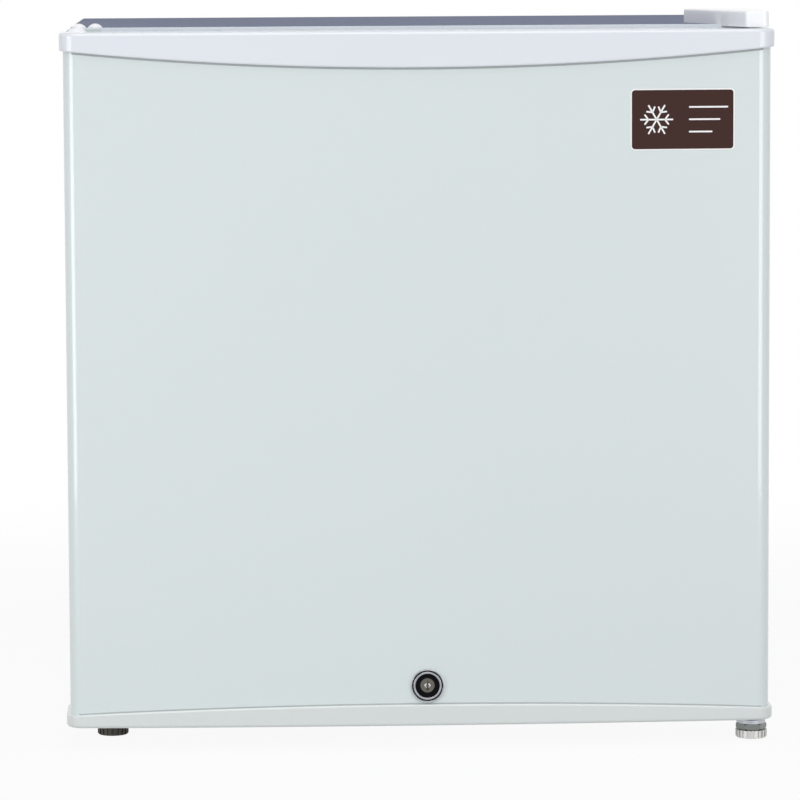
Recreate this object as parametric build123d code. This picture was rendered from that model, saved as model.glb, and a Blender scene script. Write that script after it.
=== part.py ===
from build123d import *
import os

# Mini fridge with one bowed door, a key lock in its foot and a half-width freezer box inside.
# Millimetres. +X is to the right, +Y to the back, +Z up, and the door faces -Y.
# The origin is on the floor, under the middle of the fridge's own box.

# Outer sizes
overall_width = 472.0  # across the door's end caps
overall_depth = 450.0  # front of the end caps to the back panel's beads
floor_gap = 16.0  # floor to the door's lower edge
door_height = 461.0
cabinet_rise = 2.0  # cabinet top above the door's top
cabinet_ground = 12.5  # floor to the cabinet's underside
cabinet_inset = 3.0  # end of a cap to the cabinet's side

# Stock and fits
sheet = 0.8  # steel sheet
moulding = 1.5  # vacuum-formed liner wall
seat_gap = 0.3  # between a moving or soft face and its seat
running_gap = 0.05  # radial gap of a turning fit
bore_gap = 0.1  # radial gap round a piece that is set in a hole

# Door shell
lip_proud = 2.5  # end caps stand proud of the panel
door_bow = 6.0  # rise of the bowed front
door_corner = 9.0  # plan radius of the front edges
door_edge_depth = 41.5  # panel's front edge to its rear
door_return = 14.0  # width of the panel's rear returns
gasket_gap = 12.0  # door's rear to the cabinet's front
cap_plate = 3.0
cap_edge_radius = 2.2
lip_edge_radius = 1.2  # rounding along a lip's arc
cap_apron = 14.0  # height of the caps' rear walls
apron_wall = 1.5
top_lip_end = 12.0
top_lip_middle = 24.0
bottom_lip_end = 8.5
bottom_lip_middle = 14.5

# Door liner, gasket and bins
liner_side_margin = 4.5
liner_end_margin = 10.0
gasket_side_margin = 11.5
gasket_top_margin = 11.0
gasket_low_margin = 38.0  # leaves room for the lock under the seal
gasket_width = 16.0
gasket_base = 3.0
gasket_bulb = 3.2
gasket_bulb_width = 14.0
gasket_waist_width = 8.0
gasket_corner = 14.0
dyke_gap = 12.0  # cavity wall to the ring that stands behind the door
dyke_width = 28.0
dyke_depth = 22.0
dyke_corner = 22.0
dyke_inner_corner = 8.0
dyke_round = 6.0
bin_wall = 2.0
bin_corner = 12.0
bin_lug_height = 5.0
bin_lug_reach = 5.0
bin_lug_depth = 12.0
lower_bin_rise = 9.0  # above the ring's lower run
lower_bin_depth = 74.0
lower_bin_fence = 56.0
lower_bin_back = 84.0
upper_bin_rise = 150.0
upper_bin_depth = 62.0
upper_bin_fence = 40.0
upper_bin_back = 58.0

# Hinges and front feet
hinge_inset_x = 11.7  # hinge axis from the end of the caps
hinge_inset_y = 16.5  # hinge axis in front of the door's rear
hinge_plate_thickness = 2.5
top_pin_radius = 3.0
top_pin_drop = 11.0  # into the door's top
top_bush_radius = 5.5
hinge_boss_wall = 2.0
hinge_boss_drop = 12.0
hinge_screw_radius = 2.4
hinge_screw_head = 4.2
hinge_screw_head_height = 2.2
hinge_screw_length = 16.0
hinge_screw_setback = 18.0  # behind the cabinet's front
hinge_screw_pitch = 11.0
cover_nose_reach = 15.0  # cover in front of the hinge axis
cover_nose_left = 6.6  # cover's nose, left of the hinge axis
cover_length = 115.5
cover_rear_width = 45.0
cover_height = 9.5
cover_wall = 1.5
cover_corner = 4.0
cover_edge_radius = 1.2
cover_nose_gap = 0.8  # door's top to the cover's nose
bottom_pin_radius = 5.0
bottom_pin_rise = 14.0  # into the door's foot
bottom_bush_radius = 7.0
bottom_collar_radius = 8.0
hinge_hex_across = 18.0
hinge_hex_chamfer = 1.0
bracket_nose_radius = 9.5
bracket_width = 60.0
bracket_reach = 42.0  # behind the cabinet's front
bracket_corner = 6.0
foot_radius = 10.5
foot_height = 5.4
foot_notch = 0.8
foot_notches = 20
right_stem_radius = 3.0
right_stem_rise = 6.5
left_foot_inset = 26.7  # from the cabinet's side
left_foot_setback = 12.0  # behind the cabinet's front
left_stem_radius = 4.0
left_stem_rise = 17.0
left_hex_across = 13.0
foot_bush_wall = 4.0
foot_bush_flange = 1.5
foot_bush_lip = 3.0
foot_bush_rise = 16.0
rear_foot_radius = 11.0
rear_foot_inset = 25.0
rear_foot_taper = 1.5

# Plugs over the unused hinge holes on the left
cap_plug_radius = 6.25
cap_plug_height = 3.0
roof_plug_radius = 4.9
roof_plug_height = 2.7
plug_stem_radius = 2.4
plug_stem_length = 8.0
cap_plug_stem_radius = 3.6

# Lock
lock_offset = 4.0  # right of the door's middle
lock_height = 27.0  # above the door's lower edge
bezel_radius = 10.9
bezel_proud = 2.1
bezel_rim = 0.6
bezel_groove = 0.9
bezel_groove_depth = 0.6
bezel_round = 0.25
barrel_radius = 8.0
barrel_proud = 0.3  # barrel's face in front of the panel
barrel_tail = 2.6  # behind the liner
plug_radius = 5.0
plug_proud = 0.6
plug_chamfer = 0.4
plug_tail = 0.7
keyway_width = 1.3
keyway_height = 6.4
keyway_depth = 4.0
keyway_guide = 3.6  # square dish round the keyway, on its corner
keyway_guide_depth = 0.7
lock_nut_across = 20.0
lock_nut_height = 2.3
cam_square = 6.0
cam_length = 22.0
cam_width = 10.0
cam_thickness = 2.5
cam_screw_radius = 1.6
cam_screw_head = 3.2
cam_screw_head_height = 1.8
strike_thickness = 1.5
strike_lip_width = 30.0
strike_base_width = 62.0
strike_lip_height = 14.0
strike_base_height = 18.0
strike_drop = 2.0  # under the door's lower edge
strike_clearance = 1.0  # liner to the strike's lip

# Cabinet shell
bend_radius = 3.0
side_return = 14.0
rear_return = 12.0
gasket_lap = 3.0  # gasket past the steel's inner edge
rim_return = 8.0  # white rim on the cabinet's top
bottom_return = 26.0
bead_height = 2.5
bead_width = 9.0
bead_margin = 44.0
bead_count = 4
bead_slope = 25.0  # degrees
bay_depth = 150.0
bay_height = 160.0
roof_wall = 39.0
side_wall = 36.0
back_wall = 41.0
hump_wall = 38.0
mouth_rise = 2.0  # cavity floor above the seal
flange_tuck = 9.0  # liner's flange behind the steel
cavity_corner = 12.0

# Shelf and its ribs
shelf_rib_reach = 6.0
shelf_rib_height = 4.0
shelf_rib_margin = 14.0
shelf_rise = 1.0  # ribs above the hump's rounded edge
shelf_setback = 88.0
shelf_back_gap = 3.5
shelf_side_gap = 1.0
shelf_frame_radius = 2.5
shelf_wire_radius = 1.5
shelf_crossbar_radius = 2.2
shelf_wires = 13
shelf_crossbars = 1
weld_depth = 0.6

# Freezer box, its frame and flap
evaporator_side_gap = 12.0
evaporator_width = 200.0
evaporator_height = 94.0
evaporator_setback = 121.0
evaporator_back_gap = 9.5
evaporator_wall = 1.6
evaporator_corner = 6.0
channel_width = 8.0
channel_height = 1.4
channel_runs = 4
spacer_height = 8.0
spacer_radius = 6.0
spacer_inset = 22.0
frame_lap = 5.0
frame_bar = 10.0
frame_depth = 10.0
frame_ear_width = 3.5
frame_ear_reach = 7.0
frame_ear_height = 10.0
flap_thickness = 5.0
flap_gap = 1.0
flap_pin_radius = 2.0
flap_side_gap = 0.3
flap_pivot_drop = 1.0  # under the freezer box's top
flap_lift = 2.0
flap_grip_height = 8.0
flap_grip_reach = 6.0
flap_grip_width = 70.0

# Drip tray and its runners
tray_inset = 9.0
tray_depth = 16.0
tray_wall = 1.5
tray_flange = 5.0
tray_back_gap = 4.0
tray_front_gap = 8.0
tray_corner = 5.0
tray_grip_reach = 7.0
tray_grip_width = 60.0
runner_drop = 9.0
runner_wall = 1.8
runner_lip = 7.0

# Thermostat
thermostat_setback = 123.0
thermostat_length = 100.0
thermostat_reach = 46.0
thermostat_height = 78.0
thermostat_drop = 14.0
thermostat_wall = 2.0
thermostat_round = 8.0
thermostat_boss = 8.0
knob_radius = 17.0
knob_height = 13.0
knob_rim = 4.0
knob_grip_width = 7.0
knob_shaft_radius = 3.0
knob_shaft_length = 9.0

# Compressor bay
plate_thickness = 1.5
plate_upstand = 12.0
compressor_x = 20.0
compressor_length = 165.0
compressor_width = 116.0
compressor_height = 122.0
compressor_forward = 8.5  # ahead of the bay's middle
compressor_top_round = 32.0
compressor_low_round = 18.0
seam_height = 5.0
seam_reach = 4.0
seam_rise = 60.0
ear_plate_length = 196.0
ear_plate_width = 128.0
ear_plate_thickness = 2.5
ear_plate_corner = 16.0
ear_pitch_x = 166.0
ear_pitch_y = 100.0
grommet_radius = 10.0
grommet_height = 10.0
grommet_neck = 6.5
mount_bolt_radius = 3.8
mount_bolt_across = 13.0
mount_bolt_head = 5.0
terminal_depth = 26.0
terminal_width = 62.0
terminal_height = 56.0
terminal_rise = 34.0
terminal_round = 5.0
gland_radius = 9.0
gland_bore = 3.5
gland_lip = 2.0
gland_length = 8.0
gland_x = -150.0
gland_rise = 60.0

# Tubes of the cooling circuit
condenser_radius = 2.4
condenser_bend = 18.0
condenser_loops = 3
condenser_pitch = 44.0
condenser_front_margin = 42.0
condenser_rear_margin = 30.0
condenser_top_margin = 40.0
condenser_pocket = 6.0
tail_margin = 14.5  # the tubes' rear run from the cabinet's back
tail_end_rise = 132.0
drier_radius = 8.0
drier_length = 80.0
drier_start = 28.0  # from the cabinet's side
drier_cone = 10.0
suction_radius = 4.0
suction_bend = 11.0
suction_x = -110.0
suction_rise = 80.0
capillary_radius = 1.2
capillary_bend = 8.0
capillary_x = -92.0
circuit_drop = 30.0  # tube exits under the freezer box's top
discharge_bend = 10.0
discharge_rise = 50.0
discharge_offset = 20.0
chase_margin = 3.0

# Places that follow from the sizes
half_width = overall_width / 2
panel_half = half_width - lip_proud
cabinet_half = half_width - cabinet_inset
front_y = -overall_depth / 2
panel_front_y = front_y + lip_proud
panel_edge_y = panel_front_y + door_bow
door_rear_y = panel_edge_y + door_edge_depth
liner_rear_y = door_rear_y + moulding
cabinet_front_y = door_rear_y + gasket_gap
cabinet_back_y = overall_depth / 2 - bead_height
door_low = floor_gap
door_top = door_low + door_height
panel_low = door_low + cap_plate
panel_top = door_top - cap_plate
cabinet_top = door_top + cabinet_rise
shell_top = cabinet_top - sheet
hinge_x = half_width - hinge_inset_x
hinge_y = door_rear_y - hinge_inset_y
lock_z = door_low + lock_height

gasket_half = panel_half - gasket_side_margin
gasket_low = door_low + gasket_low_margin
gasket_top = door_top - gasket_top_margin
steel_half = gasket_half - gasket_width + gasket_lap
steel_low = gasket_low + gasket_width - gasket_lap
steel_top = gasket_top - gasket_width + gasket_lap

cavity_half = cabinet_half - side_wall
cavity_low = gasket_low + gasket_width + mouth_rise
cavity_top = cabinet_top - roof_wall
cavity_back_y = cabinet_back_y - back_wall
bay_front_y = cabinet_back_y - bay_depth
bay_top = cabinet_ground + bay_height
hump_front_y = bay_front_y - hump_wall
hump_top = bay_top + hump_wall
skin_y = cabinet_front_y + sheet  # back of the steel front
foam_half = cabinet_half - sheet
foam_back_y = cabinet_back_y - 2 * sheet
base_half = foam_half - bend_radius
base_low = cabinet_ground + sheet

dyke_half = cavity_half - dyke_gap
dyke_low = cavity_low + dyke_gap
dyke_top = cavity_top - dyke_gap

evaporator_left = -cavity_half + evaporator_side_gap
evaporator_right = evaporator_left + evaporator_width
evaporator_front_y = cabinet_front_y + evaporator_setback
evaporator_back_y = cavity_back_y - evaporator_back_gap
evaporator_top = cavity_top - spacer_height
evaporator_low = evaporator_top - evaporator_height

shelf_seat = hump_top + cavity_corner + shelf_rise + shelf_rib_height
circuit_z = evaporator_top - circuit_drop
tail_y = cabinet_back_y - tail_margin
compressor_y = (bay_front_y + cabinet_back_y) / 2 - compressor_forward
compressor_seat = base_low + plate_thickness + grommet_height
compressor_low = compressor_seat + ear_plate_thickness
coil_x = foam_half - condenser_radius - running_gap
tail_z = cabinet_ground + tail_end_rise


def block(x_span, y_span, z_span):
    """Box from its low and high place on each axis."""
    spans = (x_span, y_span, z_span)
    middle = [(low + high) / 2 for low, high in spans]
    return Pos(*middle) * Box(*[high - low for low, high in spans])


def rect(x_span, y_span):
    """Rectangle from its low and high place on both axes of a sketch."""
    middle = [(low + high) / 2 for low, high in (x_span, y_span)]
    return Pos(*middle) * Rectangle(x_span[1] - x_span[0], y_span[1] - y_span[0])


def raised(sketch, z_low, z_high):
    """Plan sketch run up between two heights."""
    return extrude(Plane.XY.offset(z_low) * sketch, z_high - z_low)


def across(sketch, x_low, x_high):
    """Side-view sketch (Y, Z) run between two places on X."""
    return extrude(Plane.YZ.offset(x_low) * sketch, x_high - x_low)


def backward(sketch, y_front, y_back):
    """Front-view sketch (X, Z) run between two places on Y."""
    return extrude(Plane.XZ.offset(-y_front) * sketch, y_front - y_back)


def post(x, y, z_low, z_high, radius):
    """Upright round bar."""
    return raised(Pos(x, y) * Circle(radius), z_low, z_high)


def spigot(x, z, y_front, y_back, radius):
    """Round bar that runs front to back."""
    return backward(Pos(x, z) * Circle(radius), y_front, y_back)


def axle(y, z, x_low, x_high, radius):
    """Round bar that runs left to right."""
    return across(Pos(y, z) * Circle(radius), x_low, x_high)


def bent_tube(points, bend, radius):
    """Round tube along straight runs with equal bends."""
    path = FilletPolyline(*points, radius=bend)
    return sweep((path ^ 0) * Circle(radius), path=path)


def ring_sketch(half, low, top, width, corner, inner_corner):
    """Upright rectangular ring in front view, centred on X."""
    height = top - low
    outer = RectangleRounded(2 * half, height, corner)
    inner = RectangleRounded(2 * (half - width), height - 2 * width, inner_corner)
    return Pos(0, (low + top) / 2) * (outer - inner)


def mirrored(solid):
    """The same solid on the other side of the fridge's middle."""
    return mirror(solid, about=Plane.YZ)


def group(solids):
    """Separate solids that share one node."""
    return Compound(children=list(solids))


# Door

def door_outline():
    """Plan of the door panel: bowed front, rounded front edges, flat rear."""
    sides = Polyline(
        (-panel_half, panel_edge_y), (-panel_half, door_rear_y),
        (panel_half, door_rear_y), (panel_half, panel_edge_y),
    )
    bow = ThreePointArc((panel_half, panel_edge_y), (0, panel_front_y), (-panel_half, panel_edge_y))
    outline = make_face(sides + bow)
    return fillet(outline.vertices().sort_by(Axis.Y)[:2], door_corner)


def cap_outline():
    """Plan of an end cap: the door's plan, grown to the front and sides only."""
    reach = overall_depth
    front_half = rect((-half_width, half_width), (door_rear_y - reach, door_rear_y))
    return offset(door_outline(), lip_proud) & front_half


def lip_band(end_z, middle_z, far_z):
    """Front-view band between an arc across the door, carried on past its sides, and a level line."""
    rise = middle_z - end_z
    radius = (half_width ** 2 + rise ** 2) / (2 * abs(rise))
    reach = half_width + lip_proud
    reach_z = middle_z - (radius - (radius ** 2 - reach ** 2) ** 0.5) * rise / abs(rise)
    arc = ThreePointArc((-reach, reach_z), (0, middle_z), (reach, reach_z))
    rest = Polyline((reach, reach_z), (reach, far_z), (-reach, far_z), (-reach, reach_z))
    return make_face(arc + rest)


def lip_skirt(band, z_low, z_high):
    """Skirt of an end cap that laps the panel, cut to its arc."""
    ring = raised(cap_outline() - door_outline(), z_low, z_high)
    return ring & backward(band, front_y - lip_proud, door_rear_y + lip_proud)


def rounded_lip(skirt, facing):
    """Skirt with its outer edge rounded along the arc; facing sorts the arc's face first."""
    outline = cap_outline().wire()
    ledge = skirt.faces().sort_by(facing)[0]
    outer = [edge for edge in ledge.edges()
             if outline.distance_to(Pos(0, 0, -(edge @ 0.5).Z) * Vertex(edge @ 0.5)) < running_gap
             and (edge @ 0.5).Y < door_rear_y - running_gap]
    return fillet(outer, lip_edge_radius)


def rounded_rim(cap, level):
    """End cap with its outer edge rounded, except along the flat rear."""
    rim = [edge for edge in cap.edges().filter_by_position(Axis.Z, level, level)
           if edge.center().Y < door_rear_y - lip_proud]
    return fillet(rim, min(cap_edge_radius, cap_plate - sheet / 2))


def hinge_places():
    """The hinge axis and its twin on the other side, as plan points."""
    return [(hinge_x, hinge_y), (-hinge_x, hinge_y)]


def door_top_cap():
    """Moulded top of the door, with a lip that hangs in an arc and a boss at each hinge place."""
    band = lip_band(door_top - top_lip_end, door_top - top_lip_middle, door_top)
    cap = raised(cap_outline(), panel_top, door_top)
    cap += rounded_lip(lip_skirt(band, door_top - top_lip_middle, door_top), Axis.Z)
    cap = rounded_rim(cap, door_top)
    apron_half = panel_half - door_return
    cap += block((-apron_half, apron_half), (door_rear_y - apron_wall, door_rear_y),
                 (panel_top - cap_apron, panel_top))
    boss_radius = top_bush_radius + hinge_boss_wall
    for x, y in hinge_places():
        cap += post(x, y, panel_top - hinge_boss_drop, panel_top, boss_radius)
    cap -= post(hinge_x, hinge_y, panel_top - hinge_boss_drop, door_top, top_bush_radius)
    return cap - post(-hinge_x, hinge_y, door_top - plug_stem_length - seat_gap, door_top,
                      cap_plug_stem_radius + bore_gap)


def door_bottom_cap():
    """Moulded foot of the door, with a lip that rises in an arc."""
    band = lip_band(door_low + bottom_lip_end, door_low + bottom_lip_middle, door_low)
    cap = raised(cap_outline(), door_low, panel_low)
    cap += rounded_lip(lip_skirt(band, door_low, door_low + bottom_lip_middle), -Axis.Z)
    cap = rounded_rim(cap, door_low)
    apron_half = panel_half - door_return
    cap += block((-apron_half, apron_half), (door_rear_y - apron_wall, door_rear_y),
                 (panel_low, panel_low + cap_apron))
    boss_radius = min(bottom_bush_radius + hinge_boss_wall, panel_half - sheet - hinge_x - bore_gap)
    cap += post(hinge_x, hinge_y, panel_low, panel_low + hinge_boss_drop, boss_radius)
    return cap - post(hinge_x, hinge_y, door_low, panel_low + hinge_boss_drop, bottom_bush_radius)


def door_panel():
    """Bowed steel skin of the door, folded round its sides to narrow rear returns."""
    hollow = offset(door_outline(), -sheet)
    opening_half = panel_half - door_return
    opening = rect((-opening_half, opening_half), (door_rear_y - 2 * sheet, door_rear_y + sheet))
    panel = raised(door_outline() - hollow - opening, panel_low, panel_top)
    return panel - spigot(lock_offset, lock_z, front_y, panel_edge_y, barrel_radius + bore_gap)


def dyke(inset):
    """Ring that stands behind the door round the bins, taken in by the given wall."""
    ring = ring_sketch(
        dyke_half - inset, dyke_low + inset, dyke_top - inset, dyke_width - 2 * inset,
        dyke_corner - inset, dyke_inner_corner + inset,
    )
    solid = backward(ring, door_rear_y, liner_rear_y + dyke_depth - inset)
    return fillet(solid.faces().sort_by(Axis.Y)[-1].edges(), dyke_round - inset)


def bin_floors():
    """Floor heights of the lower and the upper bin."""
    low = dyke_low + dyke_width
    return low + lower_bin_rise, low + upper_bin_rise


def door_liner():
    """Vacuum-formed inside of the door: flange, hollow ring and lugs that carry the bins."""
    flange_half = panel_half - liner_side_margin
    flange_span = (door_low + liner_end_margin, door_top - liner_end_margin)
    liner = block((-flange_half, flange_half), (door_rear_y, liner_rear_y), flange_span)
    liner += dyke(0)
    inner_half = dyke_half - dyke_width
    lug_front = liner_rear_y + moulding
    for floor in bin_floors():
        lug = block((inner_half - bin_lug_reach, inner_half), (lug_front, lug_front + bin_lug_depth),
                    (floor - bin_lug_height, floor))
        liner += lug
        liner += mirrored(lug)
    liner -= dyke(moulding)
    return liner - spigot(lock_offset, lock_z, door_rear_y, liner_rear_y, barrel_radius + bore_gap)


def door_foam():
    """Foam core of the door, with the fill of the liner's ring."""
    hollow = offset(door_outline(), -sheet)
    opening_half = panel_half - door_return
    hollow += rect((-opening_half, opening_half), (door_rear_y - 2 * sheet, door_rear_y))
    foam = raised(hollow, panel_low, panel_top) + dyke(moulding)
    foam -= spigot(lock_offset, lock_z, front_y, door_rear_y, barrel_radius + bore_gap)
    for cap in (door_top_cap(), door_bottom_cap(), top_hinge_bush(), bottom_hinge_bush()):
        foam -= cap
    for x, y in hinge_places():
        foam -= post(x, y, panel_top - hinge_boss_drop, panel_top, top_bush_radius + hinge_boss_wall)
    return foam - post(hinge_x, hinge_y, panel_low, panel_low + hinge_boss_drop + bottom_pin_rise,
                       bottom_bush_radius)


def door_gasket():
    """Magnetic seal: foot on the liner, narrow bellows and a wide bulb towards the cabinet."""
    seal_y = cabinet_front_y - seat_gap

    def run(width, y_front, y_back):
        inset = (gasket_width - width) / 2
        ring = ring_sketch(
            gasket_half - inset, gasket_low + inset, gasket_top - inset, width,
            gasket_corner - inset, max(gasket_corner - inset - width, 1.0),
        )
        return backward(ring, y_front, y_back)

    gasket = run(gasket_width, liner_rear_y, liner_rear_y + gasket_base)
    gasket += run(gasket_waist_width, liner_rear_y + gasket_base, seal_y - gasket_bulb)
    return gasket + run(gasket_bulb_width, seal_y - gasket_bulb, seal_y)


def door_bin(floor, depth, fence, back):
    """Open bin across the door: low fence inside the fridge, higher against the door."""
    half = dyke_half - dyke_width - seat_gap
    rear = liner_rear_y + depth
    profile = Polygon((liner_rear_y, floor), (rear, floor), (rear, floor + fence),
                      (liner_rear_y + depth / 2, floor + fence), (liner_rear_y, floor + back), align=None)
    solid = across(profile, -half, half)
    solid = fillet(solid.faces().sort_by(Axis.Y)[-1].edges().filter_by(Axis.Z), bin_corner)
    core = block((-half + bin_wall, half - bin_wall), (liner_rear_y + bin_wall, rear - bin_wall),
                 (floor + bin_wall, floor + 2 * back))
    inner_rear = core.faces().sort_by(Axis.Y)[-1].edges().filter_by(Axis.Z)
    return solid - fillet(inner_rear, bin_corner - bin_wall)


def lower_door_bin():
    """Deep bottle bin at the foot of the door."""
    return door_bin(bin_floors()[0], lower_bin_depth, lower_bin_fence, lower_bin_back)


def upper_door_bin():
    """Shallow bin half-way up the door."""
    return door_bin(bin_floors()[1], upper_bin_depth, upper_bin_fence, upper_bin_back)


def top_hinge_bush():
    """Bearing sleeve for the upper hinge pin."""
    low = panel_top - hinge_boss_drop
    bush = post(hinge_x, hinge_y, low, door_top, top_bush_radius)
    return bush - post(hinge_x, hinge_y, low, door_top, top_pin_radius + running_gap)


def bottom_hinge_bush():
    """Bearing sleeve for the lower hinge pin, with the collar that shows under the door."""
    collar_low = cabinet_ground + seat_gap
    bush = post(hinge_x, hinge_y, door_low, panel_low + hinge_boss_drop, bottom_bush_radius)
    bush += post(hinge_x, hinge_y, collar_low, door_low, bottom_collar_radius)
    return bush - post(hinge_x, hinge_y, collar_low, panel_low + hinge_boss_drop,
                       bottom_pin_radius + running_gap)


def button_plug(x, y, seat, radius, height, stem_radius):
    """Domed plug over an unused hole."""
    ball = (radius ** 2 + height ** 2) / (2 * height)
    head = post(x, y, seat, seat + height, radius) & Pos(x, y, seat + height - ball) * Sphere(ball)
    return head + post(x, y, seat - plug_stem_length, seat, stem_radius)


def door_cap_plug():
    """Plug in the door's left hinge hole."""
    return button_plug(-hinge_x, hinge_y, door_top, cap_plug_radius, cap_plug_height, cap_plug_stem_radius)


# Lock

def lock_bezel():
    """Bright ring round the lock, against the panel: thin rim, groove and inner ring."""
    front = panel_front_y - bezel_proud
    rim_inner = bezel_radius - bezel_rim
    ring = spigot(lock_offset, lock_z, front, panel_front_y, bezel_radius)
    ring -= spigot(lock_offset, lock_z, front, panel_front_y, barrel_radius + bore_gap)
    groove = spigot(lock_offset, lock_z, front, front + bezel_groove_depth, rim_inner)
    groove -= spigot(lock_offset, lock_z, front, front + bezel_groove_depth, rim_inner - bezel_groove)
    ring -= groove
    return fillet(ring.edges().group_by(Axis.Y)[0], bezel_round)


def lock_barrel():
    """Body of the lock, through the whole door."""
    barrel_front = panel_front_y - barrel_proud
    barrel_back = liner_rear_y + barrel_tail
    barrel = spigot(lock_offset, lock_z, barrel_front, barrel_back, barrel_radius)
    return barrel - spigot(lock_offset, lock_z, barrel_front, barrel_back, plug_radius + running_gap)


def lock_nut():
    """Nut that clamps the lock to the liner."""
    outline = Pos(lock_offset, lock_z) * RegularPolygon(lock_nut_across / 2, 6, major_radius=False)
    hole = Pos(lock_offset, lock_z) * Circle(barrel_radius + bore_gap)
    return backward(outline - hole, liner_rear_y, liner_rear_y + lock_nut_height)


def cam_front():
    """Place on Y of the cam's front face."""
    return liner_rear_y + barrel_tail + plug_tail


def lock_plug():
    """Turning key plug with its keyway and the square that drives the cam."""
    plug_front = panel_front_y - barrel_proud - plug_proud
    plug = spigot(lock_offset, lock_z, plug_front, cam_front(), plug_radius)
    plug = chamfer(plug.edges().group_by(Axis.Y)[0], plug_chamfer)
    guide = Pos(lock_offset, lock_z) * Rot(0, 0, 45) * Rectangle(keyway_guide, keyway_guide)
    plug -= backward(guide, plug_front, plug_front + keyway_guide_depth)
    square = Pos(lock_offset, lock_z) * Rectangle(cam_square, cam_square)
    plug += backward(square, cam_front(), cam_front() + cam_thickness)
    keyway = Pos(lock_offset, lock_z) * Rectangle(keyway_width, keyway_height)
    plug -= backward(keyway, plug_front, plug_front + keyway_depth)
    return plug - spigot(lock_offset, lock_z, cam_front() - cam_length / 2, cam_front() + cam_thickness,
                         cam_screw_radius + running_gap)


def lock_cam():
    """Tongue behind the door: it points to the right unlocked and down when locked."""
    bar = rect((0, cam_length), (-cam_width / 2, cam_width / 2))
    bar = fillet(bar.vertices().sort_by(Axis.X)[-2:], cam_width / 4) + Circle(cam_width / 2)
    square = 2 * running_gap + cam_square
    bar -= Rectangle(square, square)
    return backward(Pos(lock_offset, lock_z) * bar, cam_front(), cam_front() + cam_thickness)


def lock_cam_screw():
    """Screw that holds the cam on its square."""
    seat = cam_front() + cam_thickness
    screw = spigot(lock_offset, lock_z, cam_front() - cam_length / 2 + seat_gap, seat, cam_screw_radius)
    head = spigot(lock_offset, lock_z, seat, seat + cam_screw_head_height, cam_screw_head + cam_screw_radius)
    return screw + fillet(head.edges().group_by(Axis.Y)[-1], cam_screw_head_height / 2)


def lock_strike():
    """Folded keeper on the cabinet's lower rail, with a lip for the cam to turn behind."""
    low = door_low - strike_drop
    lip_front = liner_rear_y + strike_clearance
    profile = Polyline(
        (cabinet_front_y, low + strike_base_height), (cabinet_front_y, low),
        (lip_front, low), (lip_front, low + strike_drop + strike_lip_height),
    )
    section = make_face(offset(profile, strike_thickness, side=Side.RIGHT))
    lip = across(section, lock_offset - strike_lip_width / 2, lock_offset + strike_lip_width / 2)
    base = backward(
        Pos(lock_offset, low + strike_base_height / 2)
        * RectangleRounded(strike_base_width, strike_base_height, strike_base_height / 4),
        cabinet_front_y - strike_thickness, cabinet_front_y,
    )
    return lip + base


# Hinges and feet

def hinge_screw_places():
    """Plan points of the upper hinge's screws."""
    y = cabinet_front_y + hinge_screw_setback
    return [(hinge_x, y), (hinge_x - hinge_screw_pitch, y)]


def top_hinge_plate():
    """Steel plate on the cabinet's top that reaches over the door."""
    margin = hinge_screw_head + sheet
    last_x, screw_y = hinge_screw_places()[-1]
    nose = top_pin_radius + 2 * sheet
    right = hinge_x + nose
    outline = rect((last_x - margin, right), (screw_y - margin, screw_y + margin))
    outline += rect((hinge_x - nose, right), (hinge_y, screw_y))
    outline += Pos(hinge_x, hinge_y) * Circle(nose)
    plate = raised(outline, cabinet_top, cabinet_top + hinge_plate_thickness)
    for x, y in hinge_screw_places():
        plate -= post(x, y, cabinet_top, cabinet_top + hinge_plate_thickness, hinge_screw_radius + bore_gap)
    return plate - post(hinge_x, hinge_y, cabinet_top, cabinet_top + hinge_plate_thickness,
                        top_pin_radius + bore_gap)


def top_hinge_pin():
    """Upper hinge pin, headed over the plate and rounded at its foot."""
    top = cabinet_top + hinge_plate_thickness
    pin = post(hinge_x, hinge_y, door_top - top_pin_drop, top, top_pin_radius)
    pin = chamfer(pin.edges().group_by(Axis.Z)[0], top_pin_radius / 4)
    return pin + post(hinge_x, hinge_y, top, top + sheet, top_pin_radius + sheet)


def top_hinge_screws():
    """Screws of the upper hinge plate."""
    seat = cabinet_top + hinge_plate_thickness
    screws = []
    for x, y in hinge_screw_places():
        head = post(x, y, seat, seat + hinge_screw_head_height, hinge_screw_head)
        head = fillet(head.edges().group_by(Axis.Z)[-1], hinge_screw_head_height / 2)
        screws.append(head + post(x, y, seat - hinge_screw_length, seat, hinge_screw_radius))
    return group(screws)


def cover_outline():
    """Plan of the hinge cover: narrow nose over the door, wider at its rear."""
    nose_y = hinge_y - cover_nose_reach
    rear_y = nose_y + cover_length
    outline = Polygon(
        (hinge_x - cover_nose_left, nose_y), (cabinet_half, nose_y),
        (cabinet_half, rear_y), (cabinet_half - cover_rear_width, rear_y), align=None,
    )
    return fillet(outline.vertices(), cover_corner)


def top_hinge_cover():
    """Moulded cap over the upper hinge, open underneath."""
    top = cabinet_top + cover_height
    shell = raised(cover_outline(), cabinet_top, top)
    shell = fillet(shell.faces().sort_by(Axis.Z)[-1].edges(), cover_edge_radius)
    shell -= raised(offset(cover_outline(), -cover_wall), cabinet_top, top - cover_wall)
    nose = cover_outline() - offset(cover_outline(), -cover_wall)
    nose &= rect((-half_width, half_width), (front_y, cabinet_front_y - seat_gap))
    return shell + raised(nose, door_top + cover_nose_gap, cabinet_top)


def bracket_screw_places():
    """Plan points of the lower hinge bracket's screws."""
    y = cabinet_front_y + bracket_reach / 2
    pitch = bracket_width / 2
    middle = cabinet_half - bracket_width / 2
    return [(middle - pitch / 2, y), (middle + pitch / 2, y)]


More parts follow.
